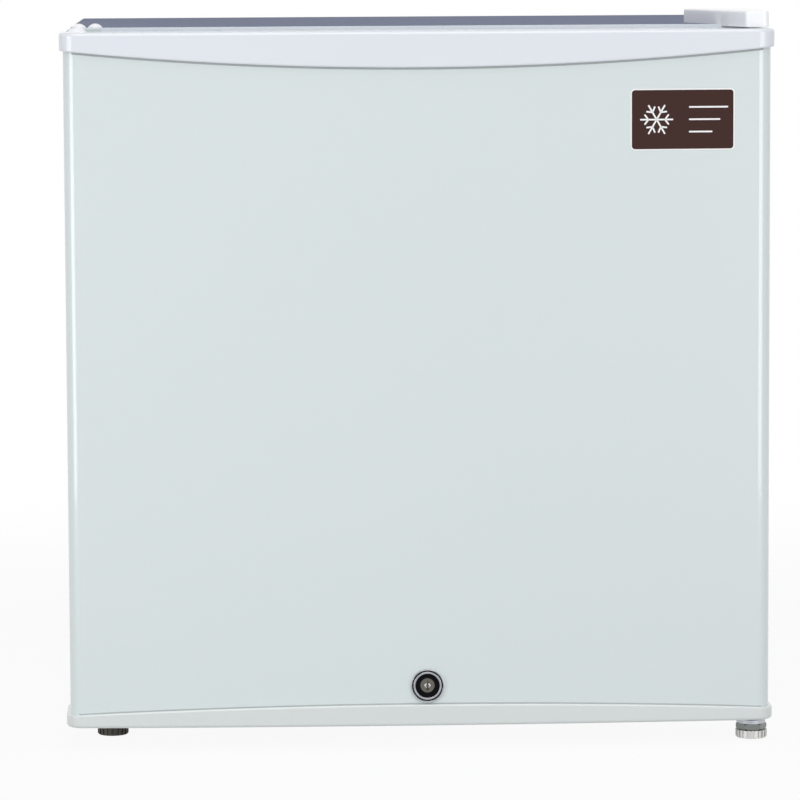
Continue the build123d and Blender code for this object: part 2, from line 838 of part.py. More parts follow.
def bottom_hinge_bracket():
    """Steel plate under the cabinet that carries the door and the right foot."""
    low = cabinet_ground - hinge_plate_thickness
    body = rect((cabinet_half - bracket_width, cabinet_half),
                (cabinet_front_y, cabinet_front_y + bracket_reach))
    body = fillet(body.vertices(), bracket_corner)
    nose = rect((hinge_x - bracket_nose_radius, hinge_x + bracket_nose_radius),
                (hinge_y, cabinet_front_y + bracket_reach / 2))
    nose &= rect((hinge_x - bracket_nose_radius, cabinet_half), (hinge_y, cabinet_back_y))
    body += nose + Pos(hinge_x, hinge_y) * Circle(bracket_nose_radius)
    plate = raised(body, low, cabinet_ground)
    for x, y in bracket_screw_places():
        plate -= post(x, y, low, cabinet_ground, hinge_screw_radius + bore_gap)
    return plate - post(hinge_x, hinge_y, low, cabinet_ground, bottom_pin_radius + bore_gap)


def bottom_hinge_pin():
    """Hollow lower hinge stud: hexagon under the bracket, shank up into the door."""
    plate_low = cabinet_ground - hinge_plate_thickness
    hexagon = Pos(hinge_x, hinge_y) * RegularPolygon(hinge_hex_across / 2, 6, major_radius=False)
    stud = raised(hexagon, foot_height + seat_gap, plate_low)
    round_bar = post(hinge_x, hinge_y, foot_height + seat_gap, plate_low, hexagon.bounding_box().size.X / 2)
    stud &= chamfer(round_bar.edges(), hinge_hex_chamfer)
    shank_top = door_low + bottom_pin_rise
    shank = post(hinge_x, hinge_y, plate_low, shank_top, bottom_pin_radius)
    stud += chamfer(shank.edges().group_by(Axis.Z)[-1], bottom_pin_radius / 5)
    bore_top = foot_height + right_stem_rise + seat_gap
    return stud - post(hinge_x, hinge_y, foot_height, bore_top, right_stem_radius + running_gap)


def bottom_hinge_screws():
    """Screws of the lower hinge bracket, driven up from below."""
    seat = cabinet_ground - hinge_plate_thickness
    screws = []
    for x, y in bracket_screw_places():
        head = post(x, y, seat - hinge_screw_head_height, seat, hinge_screw_head)
        head = fillet(head.edges().group_by(Axis.Z)[0], hinge_screw_head_height / 2)
        screws.append(head + post(x, y, seat, seat + hinge_screw_length, hinge_screw_radius))
    return group(screws)


def hinge_hole_plugs():
    """Plugs over the unused hinge screw holes on the cabinet's top left."""
    return group(button_plug(-x, y, cabinet_top, roof_plug_radius, roof_plug_height, plug_stem_radius)
                 for x, y in hinge_screw_places())


def knurled_disc(x, y):
    """Foot's disc with upright notches round its rim."""
    disc = post(x, y, 0, foot_height, foot_radius)
    disc = chamfer(disc.edges().group_by(Axis.Z)[0], foot_notch)
    notch = Pos(x, y, foot_height / 2) * PolarLocations(foot_radius, foot_notches)
    return disc - [place * Box(2 * foot_notch, 2 * foot_notch, foot_height) for place in notch]


def front_right_foot():
    """Levelling foot on the hinge axis, screwed into the lower hinge stud."""
    return knurled_disc(hinge_x, hinge_y) + post(
        hinge_x, hinge_y, foot_height, foot_height + right_stem_rise, right_stem_radius)


def left_foot_place():
    """Plan point of the front left foot."""
    return -cabinet_half + left_foot_inset, cabinet_front_y + left_foot_setback


def front_left_foot():
    """Levelling foot under the cabinet's front left, with a hexagon to turn it."""
    x, y = left_foot_place()
    hex_top = cabinet_ground - foot_bush_flange - seat_gap
    hexagon = Pos(x, y) * RegularPolygon(left_hex_across / 2, 6, major_radius=False)
    foot = knurled_disc(x, y) + raised(hexagon, foot_height, hex_top)
    return foot + post(x, y, hex_top, hex_top + left_stem_rise, left_stem_radius)


def foot_bush():
    """Flanged insert in the cabinet's floor that the left foot turns in."""
    x, y = left_foot_place()
    low = cabinet_ground - foot_bush_flange
    outer = left_stem_radius + foot_bush_wall
    bush = post(x, y, low, cabinet_ground, outer + foot_bush_lip)
    bush += post(x, y, cabinet_ground, cabinet_ground + foot_bush_rise + foot_bush_wall, outer)
    return bush - post(x, y, low, cabinet_ground + foot_bush_rise, left_stem_radius + running_gap)


def rear_feet():
    """Moulded feet under the compressor plate."""
    y = cabinet_back_y - rear_foot_inset
    x = cabinet_half - rear_foot_inset
    return group(
        Pos(place, y, base_low / 2) * Cone(rear_foot_radius - rear_foot_taper, rear_foot_radius, base_low)
        for place in (-x, x))


# Cabinet

def side_section(reach):
    """Front view of a side panel's outer edge, taken in to the given width."""
    outline = rect((cabinet_half - reach, cabinet_half), (cabinet_ground, shell_top))
    return fillet(outline.vertices().sort_by(Axis.X)[-2:], bend_radius)


def right_side_panel():
    """Folded steel side: front flange, top and bottom returns and a rear return."""
    hollow = rect((0, foam_half), (base_low, shell_top - sheet))
    hollow = fillet(hollow.vertices().sort_by(Axis.X)[-2:], bend_radius - sheet)
    panel = backward(side_section(side_return) - hollow, cabinet_front_y, cabinet_back_y)
    panel += backward(side_section(cabinet_half - steel_half), cabinet_front_y, skin_y)
    panel += backward(side_section(rear_return), cabinet_back_y - sheet, cabinet_back_y)
    for x, y in hinge_screw_places():
        panel -= post(x, y, shell_top - bend_radius, cabinet_top, hinge_screw_radius + bore_gap)
    for x, y in bracket_screw_places():
        panel -= post(x, y, cabinet_ground, cabinet_ground + bend_radius, hinge_screw_radius + bore_gap)
    return panel


def left_side_panel():
    """Folded steel side on the left."""
    return mirrored(right_side_panel())


def top_panel():
    """Grey roof sheet behind the white rim."""
    half = cabinet_half - bend_radius
    panel = block((-half, half), (cabinet_front_y + rim_return, cabinet_back_y), (shell_top, cabinet_top))
    for x, y in hinge_screw_places():
        panel -= post(x, y, shell_top, cabinet_top, hinge_screw_radius + bore_gap)
        panel -= post(-x, y, shell_top, cabinet_top, hinge_screw_radius + bore_gap)
    return panel


def front_top_rail():
    """White steel rail over the mouth, folded back to a narrow rim on the roof."""
    half = cabinet_half - bend_radius
    rail = block((-steel_half, steel_half), (cabinet_front_y, skin_y), (steel_top, cabinet_top))
    rim_span = (cabinet_front_y, cabinet_front_y + rim_return)
    return rail + block((-half, half), rim_span, (shell_top, cabinet_top))


def front_bottom_rail():
    """Steel rail under the mouth, folded back under the cabinet."""
    half = cabinet_half - side_return
    rail = block((-steel_half, steel_half), (cabinet_front_y, skin_y), (cabinet_ground, steel_low))
    rail += block((-half, half), (skin_y, cabinet_front_y + bottom_return), (cabinet_ground, base_low))
    for x, y in bracket_screw_places():
        rail -= post(x, y, cabinet_ground, base_low, hinge_screw_radius + bore_gap)
    x, y = left_foot_place()
    return rail - post(x, y, cabinet_ground, base_low, left_stem_radius + foot_bush_wall + bore_gap)


def back_panel():
    """Steel back over the compressor bay, stiffened by pressed beads."""
    front = foam_back_y
    panel = backward(rect((-base_half, base_half), (bay_top, shell_top - sheet)), front, front + sheet)
    length = 2 * (base_half - bead_margin)
    pitch = (shell_top - bay_top) / (bead_count + 1)
    rise = cabinet_back_y + bead_height - front - sheet
    bead = extrude(Plane.XZ * SlotOverall(length, bead_width), rise, taper=bead_slope)
    bead = Rot(0, 0, 180) * bead
    for index in range(bead_count):
        panel += Pos(0, front + sheet, bay_top + (index + 1) * pitch) * bead
    return panel


def base_panel():
    """Floor sheet that steps up and back over the compressor bay."""
    front = cabinet_front_y + sheet
    low, top = base_low, base_low + sheet
    profile = Polygon(
        (front, low), (bay_front_y, low), (bay_front_y, bay_top - sheet), (foam_back_y, bay_top - sheet),
        (foam_back_y, bay_top), (bay_front_y - sheet, bay_top), (bay_front_y - sheet, top), (front, top),
        align=None,
    )
    panel = across(profile, -base_half, base_half)
    for x, y in bracket_screw_places():
        panel -= post(x, y, low, top, hinge_screw_radius + bore_gap)
    x, y = left_foot_place()
    panel -= post(x, y, low, top, left_stem_radius + foot_bush_wall + bore_gap)
    for room in [tube_chase()] + condenser_pockets():
        panel -= room
    return panel


def cavity(grow):
    """Space inside the liner, with the hump over the compressor, grown by a wall."""
    low, top = cavity_low - grow, cavity_top + grow
    front, back = cabinet_front_y - 2 * cavity_corner, cavity_back_y + grow
    profile = Polygon(
        (front, low), (hump_front_y + grow, low), (hump_front_y + grow, hump_top - grow),
        (back, hump_top - grow), (back, top), (front, top), align=None,
    )
    profile = fillet(profile.vertices().sort_by(Axis.X)[2:], cavity_corner)
    solid = across(profile, -cavity_half - grow, cavity_half + grow)
    solid = fillet(solid.faces().filter_by(Axis.X).edges(), cavity_corner)
    return solid & block((-half_width, half_width), (skin_y, cabinet_back_y), (0, cabinet_top))


def inner_liner():
    """Vacuum-formed inside of the cabinet, with shelf ribs and a flange behind the steel front."""
    flange = RectangleRounded(
        2 * (steel_half + flange_tuck), steel_top - steel_low + 2 * flange_tuck, cavity_corner)
    flange = backward(Pos(0, (steel_top + steel_low) / 2) * flange, skin_y, skin_y + moulding)
    liner = flange + cavity(moulding) - cavity(0)
    rib_front = cabinet_front_y + shelf_setback - shelf_rib_margin
    rib = block((cavity_half - shelf_rib_reach, cavity_half), (rib_front, cavity_back_y - cavity_corner),
                (shelf_seat - shelf_rib_height, shelf_seat))
    liner += rib
    liner += mirrored(rib)
    for x, radius in ((suction_x, suction_radius), (capillary_x, capillary_radius)):
        liner -= spigot(x, circuit_z, cavity_back_y - moulding, cavity_back_y + 2 * moulding,
                        radius + bore_gap)
    return liner


def condenser_pockets():
    """Room in the foam for the tubes against the sides and across the back."""
    y_span = (cabinet_front_y + condenser_front_margin - condenser_pocket, tail_y + condenser_pocket)
    top = cabinet_top - condenser_top_margin
    top_span = (top - condenser_pocket, top + condenser_pocket)
    side = block((foam_half - condenser_pocket, foam_half), y_span, (bay_top - sheet, top_span[1]))
    corner = block((coil_x - condenser_bend, foam_half), (tail_y - condenser_bend, y_span[1]), top_span)
    crossing = block((-foam_half, foam_half), (tail_y - condenser_pocket, y_span[1]), top_span)
    return [side, mirrored(side), corner, mirrored(corner), crossing]


def tube_chase():
    """Channel in the foam for the two tubes behind the freezer box."""
    low_x = suction_x - suction_radius - chase_margin
    high_x = capillary_x + capillary_radius + chase_margin
    return block((low_x, high_x), (cavity_back_y + moulding, tail_y + chase_margin),
                 (bay_top - 2 * sheet, circuit_z + suction_radius + chase_margin))


def cabinet_foam():
    """Foam between the steel shell and the liner, cut back for the compressor bay and the tubes."""
    foam = block((-foam_half, foam_half), (skin_y, foam_back_y), (base_low + sheet, shell_top))
    foam = fillet(foam.edges().filter_by(Axis.Y).group_by(Axis.Z)[-1], bend_radius)
    foam -= block((-foam_half, foam_half), (bay_front_y - sheet, cabinet_back_y), (0, bay_top))
    flange_half = steel_half + flange_tuck
    foam -= block((-flange_half, flange_half), (skin_y, skin_y + moulding),
                  (steel_low - flange_tuck, steel_top + flange_tuck))
    foam -= cavity(moulding)
    for solid in (right_side_panel(), left_side_panel(), front_top_rail(), front_bottom_rail(), base_panel()):
        foam -= solid
    for pocket in condenser_pockets():
        foam -= pocket
    foam -= tube_chase()
    for x, y in hinge_screw_places():
        for place in (-x, x):
            foam -= post(place, y, shell_top - hinge_screw_length, shell_top, hinge_screw_radius + bore_gap)
    for x, y in bracket_screw_places():
        foam -= post(x, y, base_low, base_low + hinge_screw_length, hinge_screw_radius + bore_gap)
    x, y = left_foot_place()
    return foam - post(x, y, base_low, cabinet_ground + foot_bush_rise + foot_bush_wall + seat_gap,
                       left_stem_radius + foot_bush_wall + bore_gap)


def wire_shelf():
    """Welded wire shelf that lies on the liner's ribs."""
    half = cavity_half - shelf_side_gap - shelf_frame_radius
    z = shelf_seat + shelf_frame_radius
    front = cabinet_front_y + shelf_setback
    back = cavity_back_y - shelf_back_gap - shelf_frame_radius
    corner = cavity_corner
    corners = [(-half, front), (half, front), (half, back), (-half, back)]
    path = FilletPolyline(*corners, radius=corner, close=True)
    path = Pos(0, 0, z) * path
    shelf = sweep((path ^ 0) * Circle(shelf_frame_radius), path=path)
    for index in range(shelf_crossbars):
        y = front + (back - front) * (index + 1) / (shelf_crossbars + 1)
        shelf += axle(y, z, -half, half, shelf_crossbar_radius)
    wire_z = z + shelf_frame_radius + shelf_wire_radius - weld_depth
    pitch = 2 * (half - corner) / shelf_wires
    for index in range(shelf_wires):
        x = -half + corner + (index + 0.5) * pitch
        shelf += spigot(x, wire_z, front, back, shelf_wire_radius)
    return shelf


# Freezer box

def evaporator():
    """Formed aluminium freezer box with raised refrigerant channels on its right side and floor."""
    middle = (evaporator_left + evaporator_right) / 2
    z = (evaporator_low + evaporator_top) / 2
    outer = Pos(middle, z) * RectangleRounded(evaporator_width, evaporator_height, evaporator_corner)
    wall = 2 * evaporator_wall
    inner = Pos(middle, z) * RectangleRounded(
        evaporator_width - wall, evaporator_height - wall, evaporator_corner - evaporator_wall)
    sleeve = backward(outer, evaporator_front_y, evaporator_back_y)
    sleeve -= backward(inner, evaporator_front_y, evaporator_back_y - evaporator_wall)
    length = evaporator_back_y - evaporator_front_y - 2 * frame_bar
    pitch = (evaporator_height - 2 * evaporator_corner) / channel_runs
    run = SlotOverall(length, channel_width)
    turn = SlotOverall(pitch + channel_width, channel_width, rotation=90)
    y_middle = (evaporator_front_y + evaporator_back_y) / 2
    end = length / 2 - channel_width / 2
    pattern = Sketch()
    for index in range(channel_runs):
        level = evaporator_low + evaporator_corner + (index + 0.5) * pitch
        pattern += Pos(y_middle, level) * run
        if index < channel_runs - 1:
            side = end if index % 2 else -end
            pattern += Pos(y_middle + side, level + pitch / 2) * turn
    return sleeve + across(pattern, evaporator_right, evaporator_right + channel_height)


def evaporator_spacers():
    """Posts that hang the freezer box from the cavity's roof."""
    spacers = []
    for x in (evaporator_left + spacer_inset, evaporator_right - spacer_inset):
        for y in (evaporator_front_y + spacer_inset, evaporator_back_y - spacer_inset):
            spacers.append(post(x, y, evaporator_top, cavity_top, spacer_radius))
    return group(spacers)


def flap_pivot():
    """Place on Y and Z of the flap's axis."""
    frame_front = evaporator_front_y - frame_depth
    return frame_front - flap_gap - flap_thickness / 2, evaporator_top - flap_pivot_drop


def freezer_frame():
    """Moulded frame on the mouth of the freezer box, with ears for the flap's pins."""
    left, right = evaporator_left - frame_lap, evaporator_right + frame_lap
    low, top = evaporator_low - frame_lap / 2, evaporator_top + frame_lap
    front = evaporator_front_y - frame_depth
    outer = fillet(rect((left, right), (low, top)).vertices(), evaporator_corner)
    inner = fillet(rect((left + frame_bar, right - frame_bar), (low + frame_bar, top - frame_bar)).vertices(),
                   evaporator_corner)
    frame = backward(outer - inner, front, evaporator_front_y)
    y, z = flap_pivot()
    ear_z = (z - frame_ear_height / 2, z + frame_ear_height / 2)
    for x in (left, right - frame_ear_width):
        ear = block((x, x + frame_ear_width), (front - frame_ear_reach, front), ear_z)
        frame += fillet(ear.faces().sort_by(Axis.Y)[0].edges().filter_by(Axis.X), frame_ear_height / 3)
    return frame - axle(y, z, left, right, flap_pin_radius + running_gap)


def freezer_flap():
    """Plastic flap that hangs from its two pins in front of the freezer box."""
    left = evaporator_left - frame_lap + frame_ear_width + flap_side_gap
    right = evaporator_right + frame_lap - frame_ear_width - flap_side_gap
    y, z = flap_pivot()
    half = flap_thickness / 2
    low = evaporator_low + flap_lift
    flap = block((left, right), (y - half, y + half), (low, z))
    flap += axle(y, z, left, right, half)
    middle = (left + right) / 2
    grip = block((middle - flap_grip_width / 2, middle + flap_grip_width / 2),
                 (y - half - flap_grip_reach, y - half), (low, low + flap_grip_height))
    flap += fillet(grip.faces().sort_by(Axis.Y)[0].edges().filter_by(Axis.X), flap_grip_height / 3)
    pin_end = frame_ear_width
    return flap + axle(y, z, left - pin_end, right + pin_end, flap_pin_radius)


def tray_runners():
    """Two angle strips under the freezer box that carry the drip tray."""
    y_span = (evaporator_front_y, evaporator_back_y)
    low = evaporator_low - runner_drop
    inner = evaporator_left + runner_wall
    strip = block((evaporator_left, inner), y_span, (low, evaporator_low))
    strip += block((inner, inner + runner_lip), y_span, (low, low + runner_wall))
    middle = (evaporator_left + evaporator_right) / 2
    twin = mirror(strip, about=Plane.YZ.offset(middle))
    return group([strip, twin])


def drip_tray():
    """Shallow tray under the freezer box, with flanges that slide on the runners."""
    left, right = evaporator_left + tray_inset, evaporator_right - tray_inset
    front, back = evaporator_front_y - tray_front_gap, evaporator_back_y - tray_back_gap
    flange_low = evaporator_low - runner_drop + runner_wall + seat_gap
    top = flange_low + tray_wall
    low = top - tray_depth
    body = fillet(rect((left, right), (front, back)).vertices(), tray_corner)
    tray = raised(body, low, top)
    tray += block((left - tray_flange, right + tray_flange), (evaporator_front_y, back), (flange_low, top))
    tray -= raised(offset(body, -tray_wall), low + tray_wall, top)
    middle = (left + right) / 2
    grip = rect((middle - tray_grip_width / 2, middle + tray_grip_width / 2),
                (front - tray_grip_reach, front))
    grip = fillet(grip.vertices().sort_by(Axis.Y)[:2], tray_grip_reach / 2)
    return tray + raised(grip, top - tray_wall, top)


# Thermostat

def thermostat_span():
    """Low and high place of the thermostat housing on Y and Z."""
    front = cabinet_front_y + thermostat_setback
    top = cavity_top - thermostat_drop
    return (front, front + thermostat_length), (top - thermostat_height, top)


def knob_place():
    """Place of the knob's axis on X and Z."""
    z_span = thermostat_span()[1]
    return cavity_half - thermostat_reach / 2, (z_span[0] + z_span[1]) / 2


def thermostat_housing():
    """Moulded cover on the right wall, open towards the wall, with a bearing for the knob."""
    y_span, z_span = thermostat_span()
    shell = block((cavity_half - thermostat_reach, cavity_half), y_span, z_span)
    shell = fillet(shell.faces().sort_by(Axis.X)[0].edges(), thermostat_round)
    wall = thermostat_wall
    hollow = block((cavity_half - thermostat_reach + wall, cavity_half),
                   (y_span[0] + wall, y_span[1] - wall), (z_span[0] + wall, z_span[1] - wall))
    shell -= fillet(hollow.faces().sort_by(Axis.X)[0].edges(), thermostat_round - wall)
    x, z = knob_place()
    shell += spigot(x, z, y_span[0], y_span[0] + thermostat_boss, knob_shaft_radius + wall)
    return shell - spigot(x, z, y_span[0], y_span[0] + thermostat_boss, knob_shaft_radius + running_gap)


def thermostat_knob():
    """Round control knob with a raised grip bar across its face."""
    x, z = knob_place()
    seat = thermostat_span()[0][0] - seat_gap
    face = seat - knob_height
    knob = spigot(x, z, seat - knob_rim, seat, knob_radius)
    bar = SlotOverall(2 * knob_radius - knob_rim, knob_grip_width, rotation=90)
    grip = backward(Pos(x, z) * bar, face, seat - knob_rim)
    knob += fillet(grip.faces().sort_by(Axis.Y)[0].edges(), knob_grip_width / 4)
    return knob + spigot(x, z, seat, seat + knob_shaft_length, knob_shaft_radius)


# Compressor bay

def mount_places():
    """Plan points of the compressor's four feet."""
    return [(compressor_x + side * ear_pitch_x / 2, compressor_y + end * ear_pitch_y / 2)
            for side in (-1, 1) for end in (-1, 1)]


def can_outline():
    """Plan of the compressor's can."""
    return Pos(compressor_x, compressor_y) * SlotOverall(compressor_length, compressor_width)


def compressor_plate():
    """Steel floor of the bay, with a folded rear edge."""
    front = bay_front_y + sheet
    top = base_low + plate_thickness
    plate = block((-base_half, base_half), (front, cabinet_back_y - sheet), (base_low, top))
    back = cabinet_back_y - sheet
    plate += block((-base_half + rear_return, base_half - rear_return),
                   (back - plate_thickness, back), (top, top + plate_upstand))
    for x, y in mount_places():
        plate -= post(x, y, base_low, top, mount_bolt_radius + bore_gap)
    return plate


def compressor():
    """Welded can of the compressor with its seam and foot plate."""
    top = compressor_low + compressor_height
    can = raised(can_outline(), compressor_low, top)
    can = fillet(can.faces().sort_by(Axis.Z)[-1].edges(), compressor_top_round)
    can = fillet(can.faces().sort_by(Axis.Z)[0].edges(), compressor_low_round)
    seam_low = compressor_low + seam_rise
    can += raised(offset(can_outline(), seam_reach), seam_low, seam_low + seam_height)
    plate = RectangleRounded(ear_plate_length, ear_plate_width, ear_plate_corner)
    can += raised(Pos(compressor_x, compressor_y) * plate, compressor_seat, compressor_low)
    for x, y in mount_places():
        can -= post(x, y, compressor_seat, compressor_low, grommet_neck + bore_gap)
    return can


def compressor_grommets():
    """Rubber feet under the compressor, each with a neck through the foot plate."""
    seat = base_low + plate_thickness
    grommets = []
    for x, y in mount_places():
        body = post(x, y, seat, compressor_seat, grommet_radius)
        body += post(x, y, seat, compressor_low, grommet_neck)
        grommets.append(body - post(x, y, seat, compressor_low, mount_bolt_radius + bore_gap))
    return group(grommets)


def compressor_bolts():
    """Bolts that hold the compressor down through its grommets."""
    bolts = []
    for x, y in mount_places():
        hexagon = Pos(x, y) * RegularPolygon(mount_bolt_across / 2, 6, major_radius=False)
        head = raised(hexagon, compressor_low, compressor_low + mount_bolt_head)
        head += post(x, y, compressor_low, compressor_low + sheet, grommet_neck + sheet)
        bolts.append(head + post(x, y, base_low, compressor_low, mount_bolt_radius))
    return group(bolts)


def terminal_cover():
    """Moulded cover over the compressor's terminals, on its right end."""
    end_x = compressor_x + compressor_length / 2
    low = compressor_low + terminal_rise
    box = block((end_x - terminal_depth, end_x + terminal_depth),
                (compressor_y - terminal_width / 2, compressor_y + terminal_width / 2),
                (low, low + terminal_height))
    box = fillet(box.faces().sort_by(Axis.X)[-1].edges(), terminal_round)
    return box - raised(offset(can_outline(), seam_reach + bore_gap), low, low + terminal_height)


def condenser_coil():
    """One tube: up the right side in runs, across the back and down the left side."""
    front = cabinet_front_y + condenser_front_margin
    rear = tail_y - condenser_rear_margin
    top = cabinet_top - condenser_top_margin
    low = top - (2 * condenser_loops - 1) * condenser_pitch
    side = [(tail_y, tail_z), (tail_y, low)]
    for index in range(condenser_loops):
        level = low + 2 * index * condenser_pitch
        side += [(front, level), (front, level + condenser_pitch)]
        if index < condenser_loops - 1:
            side += [(rear, level + condenser_pitch), (rear, level + 2 * condenser_pitch)]
    side.append((tail_y, top))
    points = [(coil_x, y, z) for y, z in side]
    points += [(-coil_x, y, z) for y, z in reversed(side)]
    points.append((-cabinet_half + drier_start, tail_y, tail_z))
    return bent_tube(points, condenser_bend, condenser_radius)


def filter_drier():
    """Copper filter drier with tapered ends, across the rear of the bay."""
    start = -cabinet_half + drier_start
    end = start + drier_length
    neck = condenser_radius + sheet
    profile = Polygon(
        (start, 0), (start, neck), (start + drier_cone, drier_radius), (end - drier_cone, drier_radius),
        (end, neck), (end, 0), align=None,
    )
    body = revolve(profile, Axis.X)
    return Pos(0, tail_y, tail_z) * body


def discharge_tube():
    """Tube from the compressor to the foot of the condenser on the right."""
    x = compressor_x + discharge_offset
    z = compressor_low + discharge_rise
    start_y = compressor_y + compressor_width / 2
    return bent_tube([(x, start_y, z), (x, tail_y, z), (coil_x, tail_y, z), (coil_x, tail_y, tail_z)],
                     discharge_bend, condenser_radius)


def suction_tube():
    """Wide tube from the freezer box back to the compressor."""
    z = compressor_low + suction_rise
    down_y = (cavity_back_y + tail_y) / 2
    end_x = compressor_x - compressor_length / 2
    points = [(suction_x, evaporator_back_y, circuit_z), (suction_x, down_y, circuit_z),
              (suction_x, down_y, z), (suction_x, compressor_y, z), (end_x, compressor_y, z)]
    return bent_tube(points, suction_bend, suction_radius)


def capillary_tube():
    """Thin tube from the drier up to the freezer box."""
    start = -cabinet_half + drier_start + drier_length
    points = [(start, tail_y, tail_z), (capillary_x, tail_y, tail_z), (capillary_x, tail_y, circuit_z),
              (capillary_x, evaporator_back_y, circuit_z)]
    return bent_tube(points, capillary_bend, capillary_radius)


def cord_gland():
    """Inlet bush for the mains lead in the bay's front wall."""
    z = cabinet_ground + gland_rise
    gland = spigot(gland_x, z, bay_front_y, bay_front_y + gland_length, gland_radius)
    gland = fillet(gland.edges().group_by(Axis.Y)[-1], gland_lip)
    return gland - spigot(gland_x, z, bay_front_y + gland_lip, bay_front_y + gland_length, gland_bore)


NODES = [
    door_panel, door_foam, door_liner, door_top_cap, door_bottom_cap, door_gasket, upper_door_bin,
    lower_door_bin, top_hinge_bush, bottom_hinge_bush, door_cap_plug, lock_bezel, lock_barrel, lock_nut,
    lock_plug, lock_cam, lock_cam_screw, lock_strike, top_hinge_plate, top_hinge_pin, top_hinge_screws,
    top_hinge_cover, bottom_hinge_bracket, bottom_hinge_pin, bottom_hinge_screws, hinge_hole_plugs,
    front_right_foot, front_left_foot, foot_bush, rear_feet, left_side_panel, right_side_panel, top_panel,
    front_top_rail, front_bottom_rail, back_panel, base_panel, cabinet_foam, inner_liner, wire_shelf,
    evaporator, evaporator_spacers, freezer_frame, freezer_flap, tray_runners, drip_tray,
    thermostat_housing, thermostat_knob, compressor_plate, compressor, compressor_grommets,
    compressor_bolts, terminal_cover, condenser_coil, filter_drier, discharge_tube, suction_tube,
    capillary_tube, cord_gland,
]

os.makedirs("parts", exist_ok=True)
for make in NODES:
    export_step(make(), f"parts/{make.__name__}.step")
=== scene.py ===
"""Dresses the mini fridge: a finish on every node, small detail pieces, the studio and the camera."""
import logging
import math
from dataclasses import dataclass, field
from enum import Enum
from typing import Callable

import bpy
from mathutils import Matrix, Vector


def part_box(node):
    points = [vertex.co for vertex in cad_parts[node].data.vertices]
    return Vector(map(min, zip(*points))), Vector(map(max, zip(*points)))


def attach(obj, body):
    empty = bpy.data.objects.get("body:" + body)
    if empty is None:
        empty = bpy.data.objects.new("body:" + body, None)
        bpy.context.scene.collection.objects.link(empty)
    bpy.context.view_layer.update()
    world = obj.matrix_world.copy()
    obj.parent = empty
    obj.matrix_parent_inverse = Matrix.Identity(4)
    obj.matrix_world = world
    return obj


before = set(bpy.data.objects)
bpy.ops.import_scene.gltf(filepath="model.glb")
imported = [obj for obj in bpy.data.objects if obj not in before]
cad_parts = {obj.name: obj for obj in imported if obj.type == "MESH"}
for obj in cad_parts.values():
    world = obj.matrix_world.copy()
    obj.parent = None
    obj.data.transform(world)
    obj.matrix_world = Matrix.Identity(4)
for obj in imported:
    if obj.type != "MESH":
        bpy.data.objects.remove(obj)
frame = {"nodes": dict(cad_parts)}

log = logging.getLogger("mini_fridge")

MM = 0.001
SMOOTH_ANGLE = math.radians(35)
# Turn that stands a flat primitive up to face the front, and lays a cylinder along Y
FACE_FRONT = (math.pi / 2, 0.0, 0.0)

Rgba = tuple[float, float, float, float]


def srgb(red: int, green: int, blue: int) -> Rgba:
    """Turns a colour as the eye reads it into the linear colour that a shader takes.

    Args:
        red: Red, 0 to 255.
        green: Green, 0 to 255.
        blue: Blue, 0 to 255.

    Returns:
        The linear colour with full alpha.
    """
    def linear(value: int) -> float:
        """Linear share of one channel, by the standard curve."""
        share = value / 255
        return share / 12.92 if share <= 0.04045 else ((share + 0.055) / 1.055) ** 2.4
    return linear(red), linear(green), linear(blue), 1.0


class Body(Enum):
    """Bodies of the frame that new pieces ride on."""

    CABINET = "cabinet"
    DOOR = "door"
    LOCK = "lock"
    KNOB = "thermostat_knob"


class Socket(Enum):
    """Kinds of socket on a shared effect."""

    NUMBER = "NodeSocketFloat"
    COLOUR = "NodeSocketColor"


